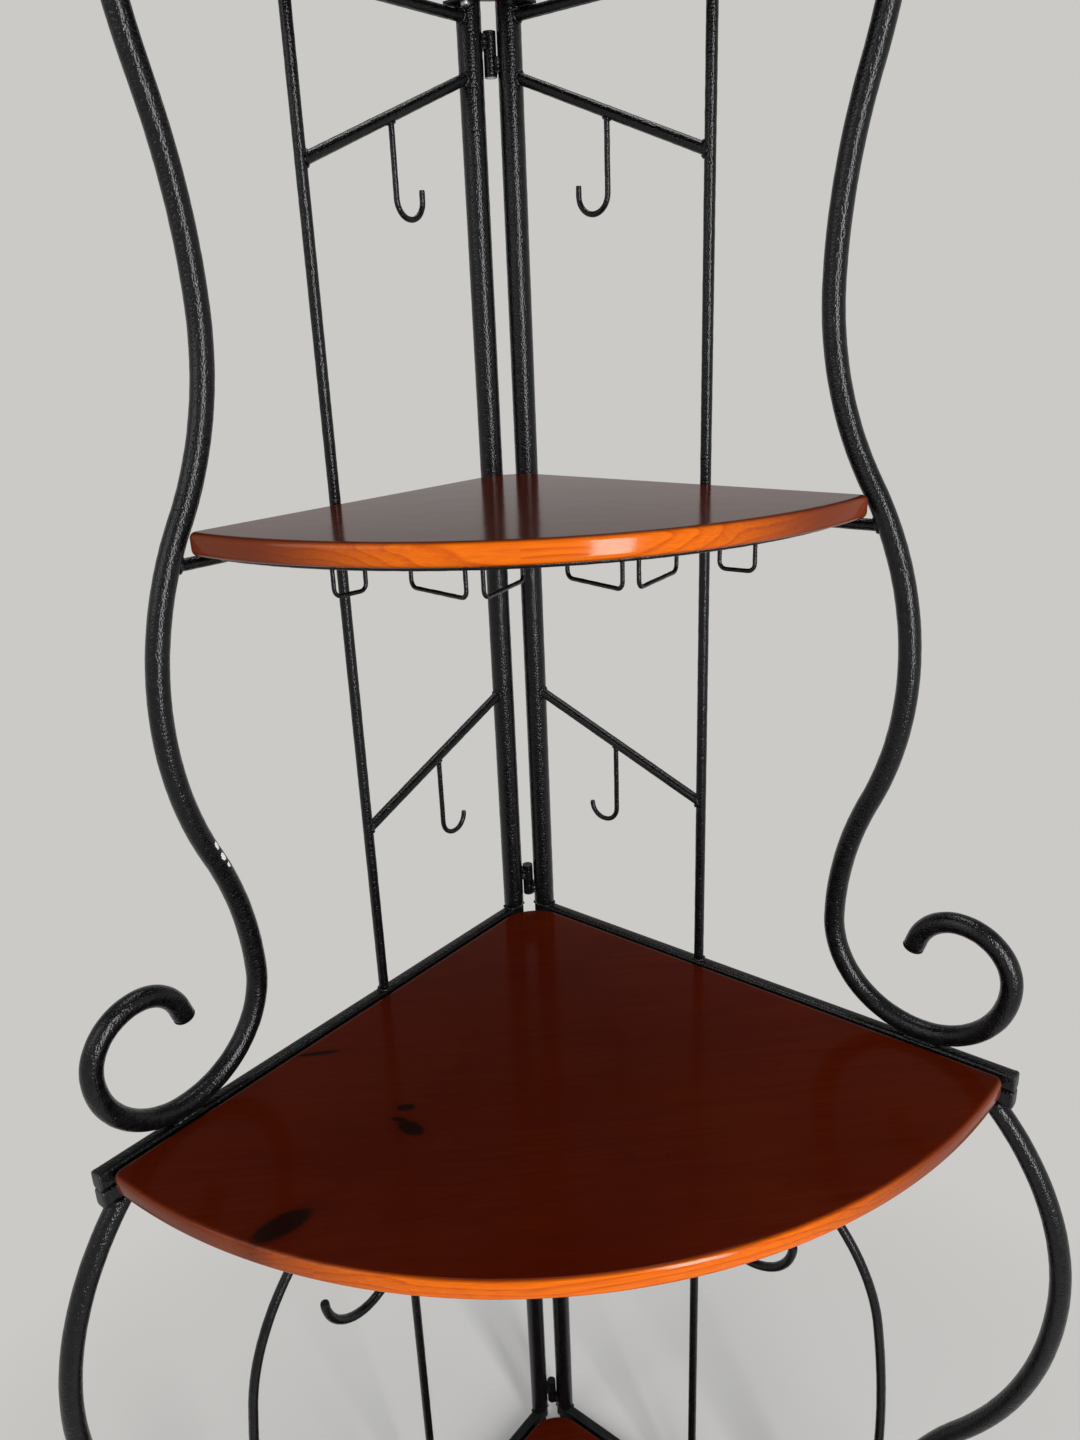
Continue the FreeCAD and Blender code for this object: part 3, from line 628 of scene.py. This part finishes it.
def lower_beads():
    """A lower frame's beads: at its bars' ends, and where its scrolls lie on a rail or a bar."""
    beads = []
    for height, way in ((foot_rail_top, 1), (lower_rail_bottom, -1)):
        post_end, rod_end = (post_reach, height), (upright_reach, height)
        beads += [joint_ring(post_end, (0, way), post_radius, (0, way), widest=rail_half, bead=post_bead),
                  joint_ring(rod_end, (0, way), rod_radius, (0, way))]
    slope = (cos(radians(leg_heading)), sin(radians(leg_heading)))
    beads.append(joint_ring(leg_top, slope, tube_radius, (0, -1), widest=rail_half, bead=leg_bead))
    leg_foot = (leg_waist[0] + foot_scroll_radii[0], foot_rail_top + tube_seam_rise)
    toe = min(scroll_rod, key=lambda point: point[1])
    touch = min(scroll_rod, key=lambda point: point[0])
    return [*beads, *seam(leg_foot, (1, 0), tube_seam, tube_bead),
            *seam((toe[0], foot_rail_top + toe_seam_rise), (1, 0), toe_seam, rod_bead),
            *seam((upright_reach + rod_radius, touch[1]), (0, 1), upright_seam, rod_bead),
            *seam(leg_seam_place, leg_seam_way, leg_seam, rod_bead)]


def tab_beads():
    """One run under each shelf tab, where it meets its rail or its support rod."""
    return [([(x - tab_half_weld, height, inside), (x + tab_half_weld, height, inside)], hook_bead, False)
            for reach, height, inside in tab_seats for x in (tab_near, tab_share * reach)]


def rail_end_beads():
    """A run of weld round the front end of the two rails that lie on each other."""
    return [([(far - rail_end_back, *point) for point in rail_outline(low, high, rail_end_inset)],
             hook_bead, True) for name, low, high, far in rails[1:]]


def hinge_beads(side):
    """A thick uneven run in the front valley between a post and its half of each hinge."""
    to_post = (on_frame(side, post_reach, 0.0) - hinge_axis).normalized()
    forward = Vector((sqrt(0.5), -sqrt(0.5), 0.0))
    valley = hinge_axis + to_post * valley_out + forward * valley_front
    start = valley_start + (cap_rise if side == "left" else 0.0)
    heights = [start + valley_length * i / 6 for i in range(7)]
    return [([valley + Vector((0.0, 0.0, low + height)) for height in heights], hinge_bead, False)
            for low in hinge_places]


frame_beads = upper_beads() + lower_beads() + rail_end_beads() + tab_beads()
for side in sides:
    paths = [([on_frame(side, *point) for point in points], *kind) for points, *kind in frame_beads]
    beads = grown(f"{side}_weld_beads", paths + hinge_beads(side), bead_tree, {
        "Step": 0.0008, "Ripple": 0.0021, "Wander": 0.0007, "Paint": black_paint})
    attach(beads, f"{side}_frame")


# Pine boards
# Quarter-round shelves glued up from pine staves that run across the corner, stained reddish
# brown and varnished. Their edges are eased and show the grain. The bright front edge against the
# dark top is partly painted light: a lit side and a shaded top are painted into the colour.

board_edge = -0.00225
board_thickness = 0.017
board_ease = 0.0045
board_flat_inset = 0.0065
board_back_round = 0.040
board_tip_round = 0.008
boards = (("bottom_board", 0.490, 0.027), ("main_board", 0.490, 0.7701),
          ("middle_board", 0.348, 1.2231), ("top_board", 0.348, 1.6101))


def board_outline(reach, inset):
    """Points of a board drawn in from its edge, as distances from the hinge axis along X and against Y."""
    tip_x = board_edge + board_tip_round
    tip_y = sqrt((reach - board_tip_round) ** 2 - tip_x ** 2)
    tip_angle = atan(tip_y / tip_x)
    back = board_edge + board_back_round
    arcs = ((back, back, board_back_round, 1.5 * pi, pi, 20),
            (tip_x, tip_y, board_tip_round, pi, tip_angle, 10),
            (0.0, 0.0, reach, tip_angle, pi / 2 - tip_angle, 150),
            (tip_y, tip_x, board_tip_round, pi / 2 - tip_angle, -pi / 2, 10))
    points = []
    for x, y, radius, start, stop, pieces in arcs:
        for piece in range(pieces + 1):
            angle = start + (stop - start) * piece / pieces
            points.append((x + (radius - inset) * cos(angle), y + (radius - inset) * sin(angle)))
    return points


def board_mesh(reach, top):
    """A board lofted from its underside, round its eased edges, to its top."""
    low = top - board_thickness
    turns = [pi / 2 * step / 6 for step in range(7)]
    rings = [(board_flat_inset, low)]
    rings += [(board_ease * (1 - sin(turn)), low + board_ease * (1 - cos(turn))) for turn in turns]
    rings += [(board_ease * (1 - cos(turn)), top - board_ease * (1 - sin(turn))) for turn in turns]
    rings.append((board_flat_inset, top))
    shape = bmesh.new()
    close_rings(shape, [[shape.verts.new((hinge_axis.x + x, hinge_axis.y - y, height))
                         for x, y in board_outline(reach, inset)] for inset, height in rings])
    bmesh.ops.remove_doubles(shape, verts=shape.verts, dist=0.000005)
    return closed_mesh(shape)


stain_dark = (0.036, 0.0030, 0.0006)
stain_red = (0.052, 0.0046, 0.0007)
stain_brown = (0.068, 0.0074, 0.0010)
# The edge colours are partly painted light: they give the sides a brightly lit look against the darker top,
# as well as the grain.
edge_orange = (0.66, 0.128, 0.0016)
edge_amber = (0.53, 0.088, 0.0014)
edge_streak = (0.33, 0.043, 0.0014)
end_grain = (0.120, 0.0210, 0.0070)
knot_black = (0.0065, 0.0022, 0.0015)
bare_wood = (0.80, 0.62, 0.40)
stave_width = 0.083
stave_shift = 0.031
pith_depth = 0.05
ring_gap = 0.0052
ring_drift = 0.034
board_spacing = 0.30
fibre_stretch = (9.0, 620.0, 620.0)
knot_depth = 0.025
knot_swell = 0.012
knots = (((-0.1332, -0.1701, 0.762), 75, 0.024, 0.0105), ((-0.1500, -0.0330, 0.762), 40, 0.0080, 0.0040),
         ((-0.1300, -0.0477, 0.762), 4, 0.0130, 0.0075), ((-0.1445, -0.0462, 0.762), 30, 0.0070, 0.0028),
         ((-0.2605, -0.0290, 0.762), 48, 0.0190, 0.0026),
         ((-0.0900, 0.1300, 1.215), 45, 0.0110, 0.0060), ((-0.1900, 0.0200, 1.602), 38, 0.0130, 0.0075),
         ((-0.0400, 0.0300, 0.019), 45, 0.0140, 0.0080), ((-0.2000, -0.1000, 0.019), 52, 0.0100, 0.0055))


def share_of(tree, value, low, high, course="LINEAR"):
    """Where a value lies between two others, from 0 to 1."""
    return add_node(tree, "ShaderNodeMapRange", {"Value": value, "From Min": low, "From Max": high},
                    clamp=True, interpolation_type=course).outputs[0]


def stained_pine():
    """Glued pine staves with growth rings, fibres and knots under a glossy reddish-brown varnish."""
    material, tree, shader, place = new_material("stained_pine", stain_brown)
    turned = add_node(tree, "ShaderNodeMapping", {
        "Vector": place, "Rotation": (0.0, 0.0, radians(-45))}).outputs[0]
    along, across, height = add_node(tree, "ShaderNodeSeparateXYZ", {0: turned}).outputs
    level = calc(tree, "FLOOR", calc(tree, "DIVIDE", height, board_spacing))
    stave_place = calc(tree, "DIVIDE", scaled(tree, level, stave_shift, across), stave_width)
    seed = add_node(tree, "ShaderNodeCombineXYZ", {0: calc(tree, "FLOOR", stave_place), 1: level})
    chance = add_node(tree, "ShaderNodeTexWhiteNoise", {"Vector": seed.outputs[0]}, noise_dimensions="3D")
    draw = add_node(tree, "ShaderNodeSeparateXYZ", {0: chance.outputs["Color"]}).outputs
    shifted = add_node(tree, "ShaderNodeCombineXYZ", {
        0: scaled(tree, draw[0], 3.0, times(tree, along, 1.6)),
        1: times(tree, across, 9.0), 2: times(tree, height, 9.0)})
    drift = noise(tree, shifted.outputs[0], 2.2, 2.0)
    spreads = [oval_distance(tree, place, centre, (0.0, 0.0, radians(-angle)), (*halves, knot_depth))
               for centre, angle, *halves in knots]
    knot_mask = merged(tree, "MAXIMUM", [times(tree, spread, -1.0) for spread in spreads])
    squares = [calc(tree, "POWER", spread, 2.0) for spread in spreads]
    knot_bulge = merged(tree, "ADD", [
        calc(tree, "EXPONENT", times(tree, square, -0.22)) for square in squares])
    stave_across = calc(tree, "SUBTRACT", calc(tree, "FRACT", stave_place), draw[1])
    stave_across = times(tree, stave_across, stave_width)
    stave_high = scaled(tree, level, -board_spacing, calc(tree, "ADD", height, 0.012))
    stave_high = scaled(tree, draw[2], pith_depth, stave_high)
    rings = calc(tree, "SQRT", calc(
        tree, "ADD", calc(tree, "POWER", stave_across, 2.0), calc(tree, "POWER", stave_high, 2.0)))
    rings = scaled(tree, drift, ring_drift, rings)
    rings = scaled(tree, knot_bulge, knot_swell, rings)
    late_wood = ramp(tree, calc(tree, "FRACT", calc(tree, "DIVIDE", rings, ring_gap)), [
        (at, (tone,) * 3) for at, tone in ((0.0, 0.1), (0.62, 0.38), (0.9, 1.0), (1.0, 0.12))])
    stretched = add_node(tree, "ShaderNodeMapping", {"Vector": turned, "Scale": fibre_stretch})
    fibres = noise(tree, stretched.outputs[0], 1.0, 3.0)
    cloud = noise(tree, turned, 6.0, 2.0)
    figure = scaled(tree, cloud, 0.45, times(tree, late_wood, 0.09))
    face = ramp(tree, scaled(tree, fibres, 0.40, figure),
                ((0.26, stain_brown), (0.52, stain_red), (0.80, stain_dark)))
    grain = scaled(tree, fibres, 0.55, times(tree, late_wood, 0.35))
    edge = ramp(tree, grain, ((0.25, edge_orange), (0.52, edge_amber), (0.85, edge_streak)))
    facing = add_node(tree, "ShaderNodeNewGeometry").outputs["Normal"]
    outward = calc_vector(tree, "NORMALIZE", calc_vector(tree, "MULTIPLY", facing, (1.0, 1.0, 0.0)))
    along_staves = calc_vector(tree, "DOT_PRODUCT", outward, (cos(pi / 4), sin(pi / 4), 0.0))
    end_cut = share_of(tree, calc(tree, "ABSOLUTE", along_staves), 0.22, 0.58, "SMOOTHSTEP")
    edge = mix_colour(tree, times(tree, end_cut, 0.95), edge, end_grain)
    upward = calc(tree, "ABSOLUTE", calc_vector(tree, "DOT_PRODUCT", facing, (0.0, 0.0, 1.0)))
    flat = share_of(tree, upward, 0.60, 0.98)
    # Painted light as well as grain: the sides take the bright orange edge colours and the top takes the
    # dark stain, so the sides are painted lighter and the top darker, partly for how the light falls on
    # them.
    colour = mix_colour(tree, flat, edge, face)
    knot_edge = scaled(tree, fibres, 0.22, knot_mask)
    halo = times(tree, share_of(tree, knot_edge, -1.9, -0.8), 0.45)
    dark = times(tree, share_of(tree, knot_edge, -1.0, -0.72), 0.92)
    colour = mix_colour(tree, dark, mix_colour(tree, halo, colour, stain_dark), knot_black)
    specks = add_node(tree, "ShaderNodeTexVoronoi", {"Vector": place, "Scale": 95.0})
    speck_draw = add_node(tree, "ShaderNodeSeparateXYZ", {0: specks.outputs["Color"]}).outputs[0]
    struck = [calc(tree, "LESS_THAN", upward, 0.93), calc(tree, "GREATER_THAN", upward, 0.25),
              calc(tree, "GREATER_THAN", speck_draw, 0.93),
              calc(tree, "LESS_THAN", specks.outputs["Distance"], 0.10)]
    waves = scaled(tree, fibres, 0.06, noise(tree, place, 34.0, 1.0))
    connect(tree, shader, {
        "Base Color": mix_colour(tree, merged(tree, "MULTIPLY", struck), colour, bare_wood),
        "Roughness": scaled(tree, fibres, 0.10, 0.10), "Normal": bumped(tree, waves, 0.2, 0.0006),
        "Coat Weight": scaled(tree, flat, -0.3, 0.3), "Coat Roughness": 0.10,
        "Specular IOR Level": 0.05})
    return material


pine = stained_pine()
for name, reach, top in boards:
    smooth_piece(name + "_pine", board_mesh(reach, top), pine, "left_frame", [name])


# Wire rack for stemmed glasses
# A bent 5 mm bar is welded under the middle board's front edge, and thin wires hang from it in
# pairs that narrow towards the back, so that a glass hangs by its foot between two of them.

bar_radius = 0.330
bar_height = 1.2035
bar_thickness = 0.0025
bar_end_setback = 0.014
wire_thickness = 0.00175
wire_drop = 0.021
wire_bend = 0.005
back_line = 0.280
mouth_width = 0.092
mouth_pitch = 0.1035
throat_width = 0.031
throat_pitch = 0.1085
board_under = 1.2061
bar_margin = asin((board_edge + bar_end_setback) / bar_radius)

bar_arc = [hinge_axis + Vector((bar_radius * cos(turn), -bar_radius * sin(turn), bar_height))
           for turn in [bar_margin + (pi / 2 - 2 * bar_margin) * i / 120 for i in range(121)]]


def stem_wire(slot, hand):
    """One wire: down from the bar, back under the board and up again."""
    mouth = pi / 4 - (slot * mouth_pitch + hand * mouth_width / 2) / bar_radius
    aside = slot * throat_pitch + hand * throat_width / 2
    front = hinge_axis + Vector((bar_radius * cos(mouth), -bar_radius * sin(mouth), 0.0))
    back = hinge_axis + Vector((back_line + aside, aside - back_line, 0.0)) * sqrt(0.5)
    run = back - front
    flat = bent_path((0.0, bar_height), -90, [
        (wire_drop - wire_bend, 0), (wire_bend, 90), (run.length - 2 * wire_bend, 0), (wire_bend, 90),
        (board_under - bar_height + wire_drop - wire_bend, 0)])
    return [front + run.normalized() * x + Vector((0.0, 0.0, z)) for x, z in flat]


painted_bars("stem_bar_painted", [(bar_arc, bar_thickness, False)], "left_frame", ["stem_bar"],
             facets=16, step=0.002)
stem_wires = [(stem_wire(slot, hand), wire_thickness, False) for slot in (-1, 0, 1) for hand in (-1, 1)]
painted_bars("stem_wires_painted", stem_wires, "left_frame",
             ["stem_wires_1", "stem_wires_2", "stem_wires_3"], facets=12, step=0.0012)


# Screws and bolts
# Zinc-plated pan-head screws hold the boards on the left frame's tabs, hexagon bolts join each
# upper rail to the lower one, and plain zinc-plated pins turn in the hinges.

screw_head = (0.0040, 0.0025)
screw_shank = (0.0020, 0.0144)
screw_recess = (0.0021, 0.00042, 0.0013)
screw_seat_drop = 0.0194
screw_inset = 0.00475
thread_start = 0.0022
thread_short = 0.005
bolt_head = (0.00433, 0.0040)
bolt_shank = (0.0030, 0.0234)
bolt_reaches = (0.10945, 0.38805)
zinc_bright = (0.60, 0.61, 0.60)
zinc_dull = (0.42, 0.42, 0.39)


def zinc_plate():
    """Bright zinc with a soft spangle and fine turning marks."""
    material, tree, shader, place = new_material("zinc_plate", zinc_bright)
    spangle = add_node(tree, "ShaderNodeTexVoronoi", {"Vector": place, "Scale": 520.0})
    tone = add_node(tree, "ShaderNodeSeparateXYZ", {0: spangle.outputs["Color"]})
    smear = noise(tree, place, 900.0, 2.0)
    connect(tree, shader, {
        "Base Color": ramp(tree, tone.outputs[0], ((0.1, zinc_dull), (0.8, zinc_bright))),
        "Roughness": scaled(tree, smear, 0.25, 0.25),
        "Normal": bumped(tree, smear, 0.2, 0.0001), "Metallic": 1.0})
    return material


def ring_of(shape, outline, height):
    return [shape.verts.new((x, y, height)) for x, y in outline]


def hexagon(flat_radius, pieces=24):
    """A hexagon with its sides divided, so that it has as many corners as a circle."""
    reaches = [flat_radius / cos(2 * pi * i / pieces % (pi / 3) - pi / 6) for i in range(pieces)]
    return [(reach * x, reach * y) for reach, (x, y) in zip(reaches, circle(1, pieces))]


def screw_mesh():
    """A pan-head screw that hangs head down, with a cross recess and a rolled thread."""
    shape = bmesh.new()
    head_radius, head_height = screw_head
    radius, length = screw_shank
    arm, half, recess_depth = screw_recess
    cross = [(arm, -half), (arm, half), (half, half)]
    for _ in range(3):
        cross += [(-y, x) for x, y in cross[-3:]]
    rings = [ring_of(shape, circle(head_radius * share), -head_height * depth)
             for share, depth in ((0.72, 1.0), (0.88, 0.86), (0.97, 0.58), (1.0, 0.25), (1.0, 0.0))]
    rings.append(ring_of(shape, circle(radius), 0.0))
    for turn in range(1, 10):
        height = thread_start + (length - thread_short) * turn / 10
        rings.append(ring_of(shape, circle(radius * (1.0 if turn % 2 else 0.8)), height))
    rings.append(ring_of(shape, circle(radius * 0.2), length))
    join_rings(shape, rings)
    shape.faces.new(rings[-1])
    mouth, floor = (ring_of(shape, cross, -head_height + depth) for depth in (0.0, recess_depth))
    join_rings(shape, [mouth, floor])
    shape.faces.new(floor)
    rims = [shape.edges.get((loop[i - 1], loop[i])) for loop in (rings[0], mouth) for i in range(len(loop))]
    bmesh.ops.triangle_fill(shape, edges=rims, use_beauty=True)
    return closed_mesh(shape)


def bolt_mesh():
    """A hexagon bolt that hangs head down, its head's corners turned off."""
    shape = bmesh.new()
    flat_radius, head_height = bolt_head
    radius, length = bolt_shank
    close_rings(shape, [ring_of(shape, outline, height) for outline, height in (
        (circle(flat_radius * 0.93), -head_height), (hexagon(flat_radius), -head_height * 0.82),
        (hexagon(flat_radius), -0.0004), (circle(flat_radius * 0.98), 0.0), (circle(radius), 0.0),
        (circle(radius), length - 0.0006), (circle(radius * 0.8), length))])
    return closed_mesh(shape)


def placed_tree():
    """A copy of a piece on each point, each turned by a fixed random amount."""
    tree, given = new_tree("placed_pieces", {"Piece": "Object", "Finish": "Material"})
    piece = add_node(tree, "GeometryNodeObjectInfo", {"Object": given["Piece"]})
    turn = add_node(tree, "FunctionNodeRandomValue", {"Max": 2 * pi, "Seed": 5}, data_type="FLOAT")
    turn = add_node(tree, "ShaderNodeCombineXYZ", {2: turn.outputs["Value"]})
    copies = add_node(tree, "GeometryNodeInstanceOnPoints", {
        "Points": given["Geometry"], "Instance": piece.outputs["Geometry"], "Rotation": turn.outputs[0]})
    close_tree(tree, copies.outputs[0], given["Finish"])
    return tree


copies_tree = placed_tree()


def placed(name, template, points, finish, body, replaced):
    """One piece with a copy of a mesh at each point, in place of a CAD node."""
    pattern = new_object(name + "_pattern", template)
    spots = [([point], 0.0, False) for point in points]
    piece = grown(name, spots, copies_tree, {"Piece": pattern, "Finish": finish})
    bpy.data.objects.remove(pattern)
    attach(piece, body)
    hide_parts(replaced)


zinc = zinc_plate()
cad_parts["hinge_pins"].data.materials[0] = zinc
screw_places = [on_frame("left", x, top - screw_seat_drop, plane_offset + screw_inset)
                for name, reach, top in boards for x in (tab_near, tab_share * reach)]
placed("pan_head_screws", screw_mesh(), screw_places, zinc, "left_frame", "board_screws")
for side in sides:
    bolt_places = [on_frame(side, x, lower_rail_bottom - weld_gap) for x in bolt_reaches]
    placed(f"{side}_hexagon_bolts", bolt_mesh(), bolt_places, zinc,
           f"{side}_frame", f"{side}_section_bolts")


# Glides and end plugs
# Moulded black plastic: push-in plugs close the rails, the posts and the scrolled tubes, and small
# tapered glides under the foot rails keep the steel off the floor.

plastic_black = (0.0075, 0.0078, 0.0082)
plastic_worn = (0.020, 0.020, 0.020)
glide_profile = ((0.0052, 0.0), (0.0058, 0.0003), (0.0061, 0.0010), (0.0066, 0.0040), (0.0062, 0.0043),
                 (0.0062, 0.0048), (0.0068, 0.0051), (0.0072, 0.0070), (0.0070, 0.0076), (0.0064, 0.0079))
glide_reaches = (0.0115, 0.505)
plug_lip = 0.0015
plug_ease = 0.0013
plug_play = 0.0001


def moulded_plastic():
    """Dull black plastic with a fine moulded grain and paler rubbed places."""
    material, tree, shader, place = new_material("moulded_black_plastic", plastic_black)
    rubbed = noise(tree, place, 160.0, 3.0)
    connect(tree, shader, {
        "Base Color": ramp(tree, rubbed, ((0.45, plastic_black), (0.75, plastic_worn))),
        "Roughness": scaled(tree, rubbed, 0.3, 0.3),
        "Normal": bumped(tree, noise(tree, place, 1800.0, 2.0), 0.4, 0.0002), "Specular IOR Level": 0.4})
    return material


def glide_mesh():
    shape = bmesh.new()
    close_rings(shape, [ring_of(shape, circle(radius, 32), height) for radius, height in glide_profile])
    return closed_mesh(shape)


def plug_mesh(side):
    """Push-in ends with eased rims: two for each rail, and discs for the two bent tubes and the post."""
    shape = bmesh.new()
    turns = [pi / 2 * step / 5 for step in range(6)]
    rims = [(0.0, 0.0)]
    rims += [(plug_lip - plug_ease + plug_ease * sin(turn), plug_ease * (1 - cos(turn))) for turn in turns]
    for name, low, high, far in rails:
        for base, way in ((rail_start, -1), (far, 1)):
            close_rings(shape, [
                rail_ring(shape, side, base + way * out, low, high, inset) for out, inset in rims])
    ends = [(front_tube[0], front_tube[1], tube_radius), (front_tube[-1], front_tube[-2], tube_radius),
            (front_leg[-1], front_leg[-2], tube_radius),
            ((post_reach, post_top), (post_reach, main_rail_top), post_radius)]
    for end, before, radius in ends:
        run_x, run_z = unit(end[0] - before[0], end[1] - before[1])
        close_rings(shape, [[shape.verts.new(on_frame(
            side, end[0] + run_x * out - run_z * high, end[1] + run_z * out + run_x * high, deep))
            for high, deep in circle(radius - inset - plug_play)] for out, inset in rims])
    return closed_mesh(shape)


plastic = moulded_plastic()
for side in sides:
    smooth_piece(f"{side}_moulded_plugs", plug_mesh(side), plastic,
                 f"{side}_frame", [f"{side}_end_plugs"])
    placed(f"{side}_moulded_glides", glide_mesh(), [on_frame(side, x, 0.0) for x in glide_reaches],
           plastic, f"{side}_frame", f"{side}_glides")


# Floor, light and camera
# A plain pale floor that fades into the background, soft studio lamps round the rack, and a camera
# that stands in front of the rack's open corner at head height and looks slightly down.

bpy.context.scene.view_settings.view_transform = "Standard"
backdrop = (0.60, 0.59, 0.57)
ceiling = (0.22, 0.22, 0.22)
daylight = (0.95, 0.97, 1.0)
floor_radius = 6
floor_drop = 0.0006
fade_start = 0.50
fade_width = 0.52


def seen_rays(tree):
    """1 for rays that show the backdrop: from the camera, off gloss and through glass."""
    path = add_node(tree, "ShaderNodeLightPath").outputs
    rays = calc(tree, "ADD", path["Is Camera Ray"], path["Is Glossy Ray"])
    return calc(tree, "MINIMUM", calc(tree, "ADD", rays, path["Is Transmission Ray"]), 1.0)


def pale_floor():
    """A floor with the rack's shadow, which turns into the backdrop further out."""
    mesh = bpy.data.meshes.new("floor")
    mesh.from_pydata([(x, y, -floor_drop) for x, y in circle(floor_radius, 64)], [], [tuple(range(64))])
    floor = new_object("floor", mesh)
    material, tree, shader, place = new_material("pale_floor", backdrop)
    connect(tree, shader, {"Base Color": (*backdrop, 1.0), "Roughness": 0.85})
    glow = add_node(tree, "ShaderNodeEmission", {"Color": (*backdrop, 1.0)})
    past = calc(tree, "SUBTRACT", calc_vector(tree, "LENGTH", place), fade_start)
    far = add_node(tree, "ShaderNodeClamp", {"Value": calc(tree, "DIVIDE", past, fade_width)})
    far = times(tree, far.outputs[0], seen_rays(tree))
    mixed = add_node(tree, "ShaderNodeMixShader", {0: far, 1: shader.outputs[0], 2: glow.outputs[0]})
    output = next(node for node in tree.nodes if node.type == "OUTPUT_MATERIAL")
    connect(tree, output, {"Surface": mixed.outputs[0]})
    mesh.materials.append(material)


def studio():
    """A world that lights evenly, and that is seen as the backdrop with a darker ceiling."""
    world = bpy.data.worlds.new("studio")
    bpy.context.scene.world = world
    world.use_nodes = True
    tree = world.node_tree
    tree.nodes.clear()
    soft = add_node(tree, "ShaderNodeBackground", {"Color": (*daylight, 1.0), "Strength": 0.38})
    way = add_node(tree, "ShaderNodeTexCoord").outputs["Generated"]
    rise = add_node(tree, "ShaderNodeSeparateXYZ", {0: way}).outputs[2]
    seen = add_node(tree, "ShaderNodeBackground", {
        "Color": ramp(tree, rise, ((0.28, backdrop), (0.62, ceiling))), "Strength": 1.0})
    choice = add_node(tree, "ShaderNodeMixShader", {
        0: seen_rays(tree), 1: soft.outputs[0], 2: seen.outputs[0]})
    add_node(tree, "ShaderNodeOutputWorld", {0: choice.outputs[0]})


def lamp(name, place, aim, width, height, power):
    light = bpy.data.lights.new(name, "AREA")
    light.shape = "RECTANGLE"
    light.size, light.size_y = width, height
    light.energy = power
    holder = new_object(name, light)
    holder.location = place
    holder.rotation_euler = (Vector(aim) - Vector(place)).to_track_quat("-Z", "Y").to_euler()


pale_floor()
studio()
lamp("key", (1.65, -0.65, 1.45), (-0.1, 0.1, 1.35), width=0.38, height=1.8, power=44)
lamp("fill", (-0.5, -1.9, 2.2), (0.0, 0.0, 0.8), width=1.4, height=1.4, power=12)
lamp("back", (-0.35, 0.55, 3.3), (0.0, 0.0, 0.9), width=1.2, height=1.2, power=26)

lens = bpy.data.cameras.new("camera")
lens.sensor_width = 36
lens.lens = 27.05
camera = new_object("camera", lens)
camera_place = (0.38905, -0.50205, 1.3467)
across = Vector((0.78030, 0.62429, -0.03746))
upward = Vector((-0.18487, 0.28746, 0.93979))
ahead = Vector((-0.59746, 0.72638, -0.33971))
turned = Matrix((across, upward, -ahead)).transposed().to_4x4()
camera.matrix_world = Matrix.Translation(camera_place) @ turned
bpy.context.scene.camera = camera
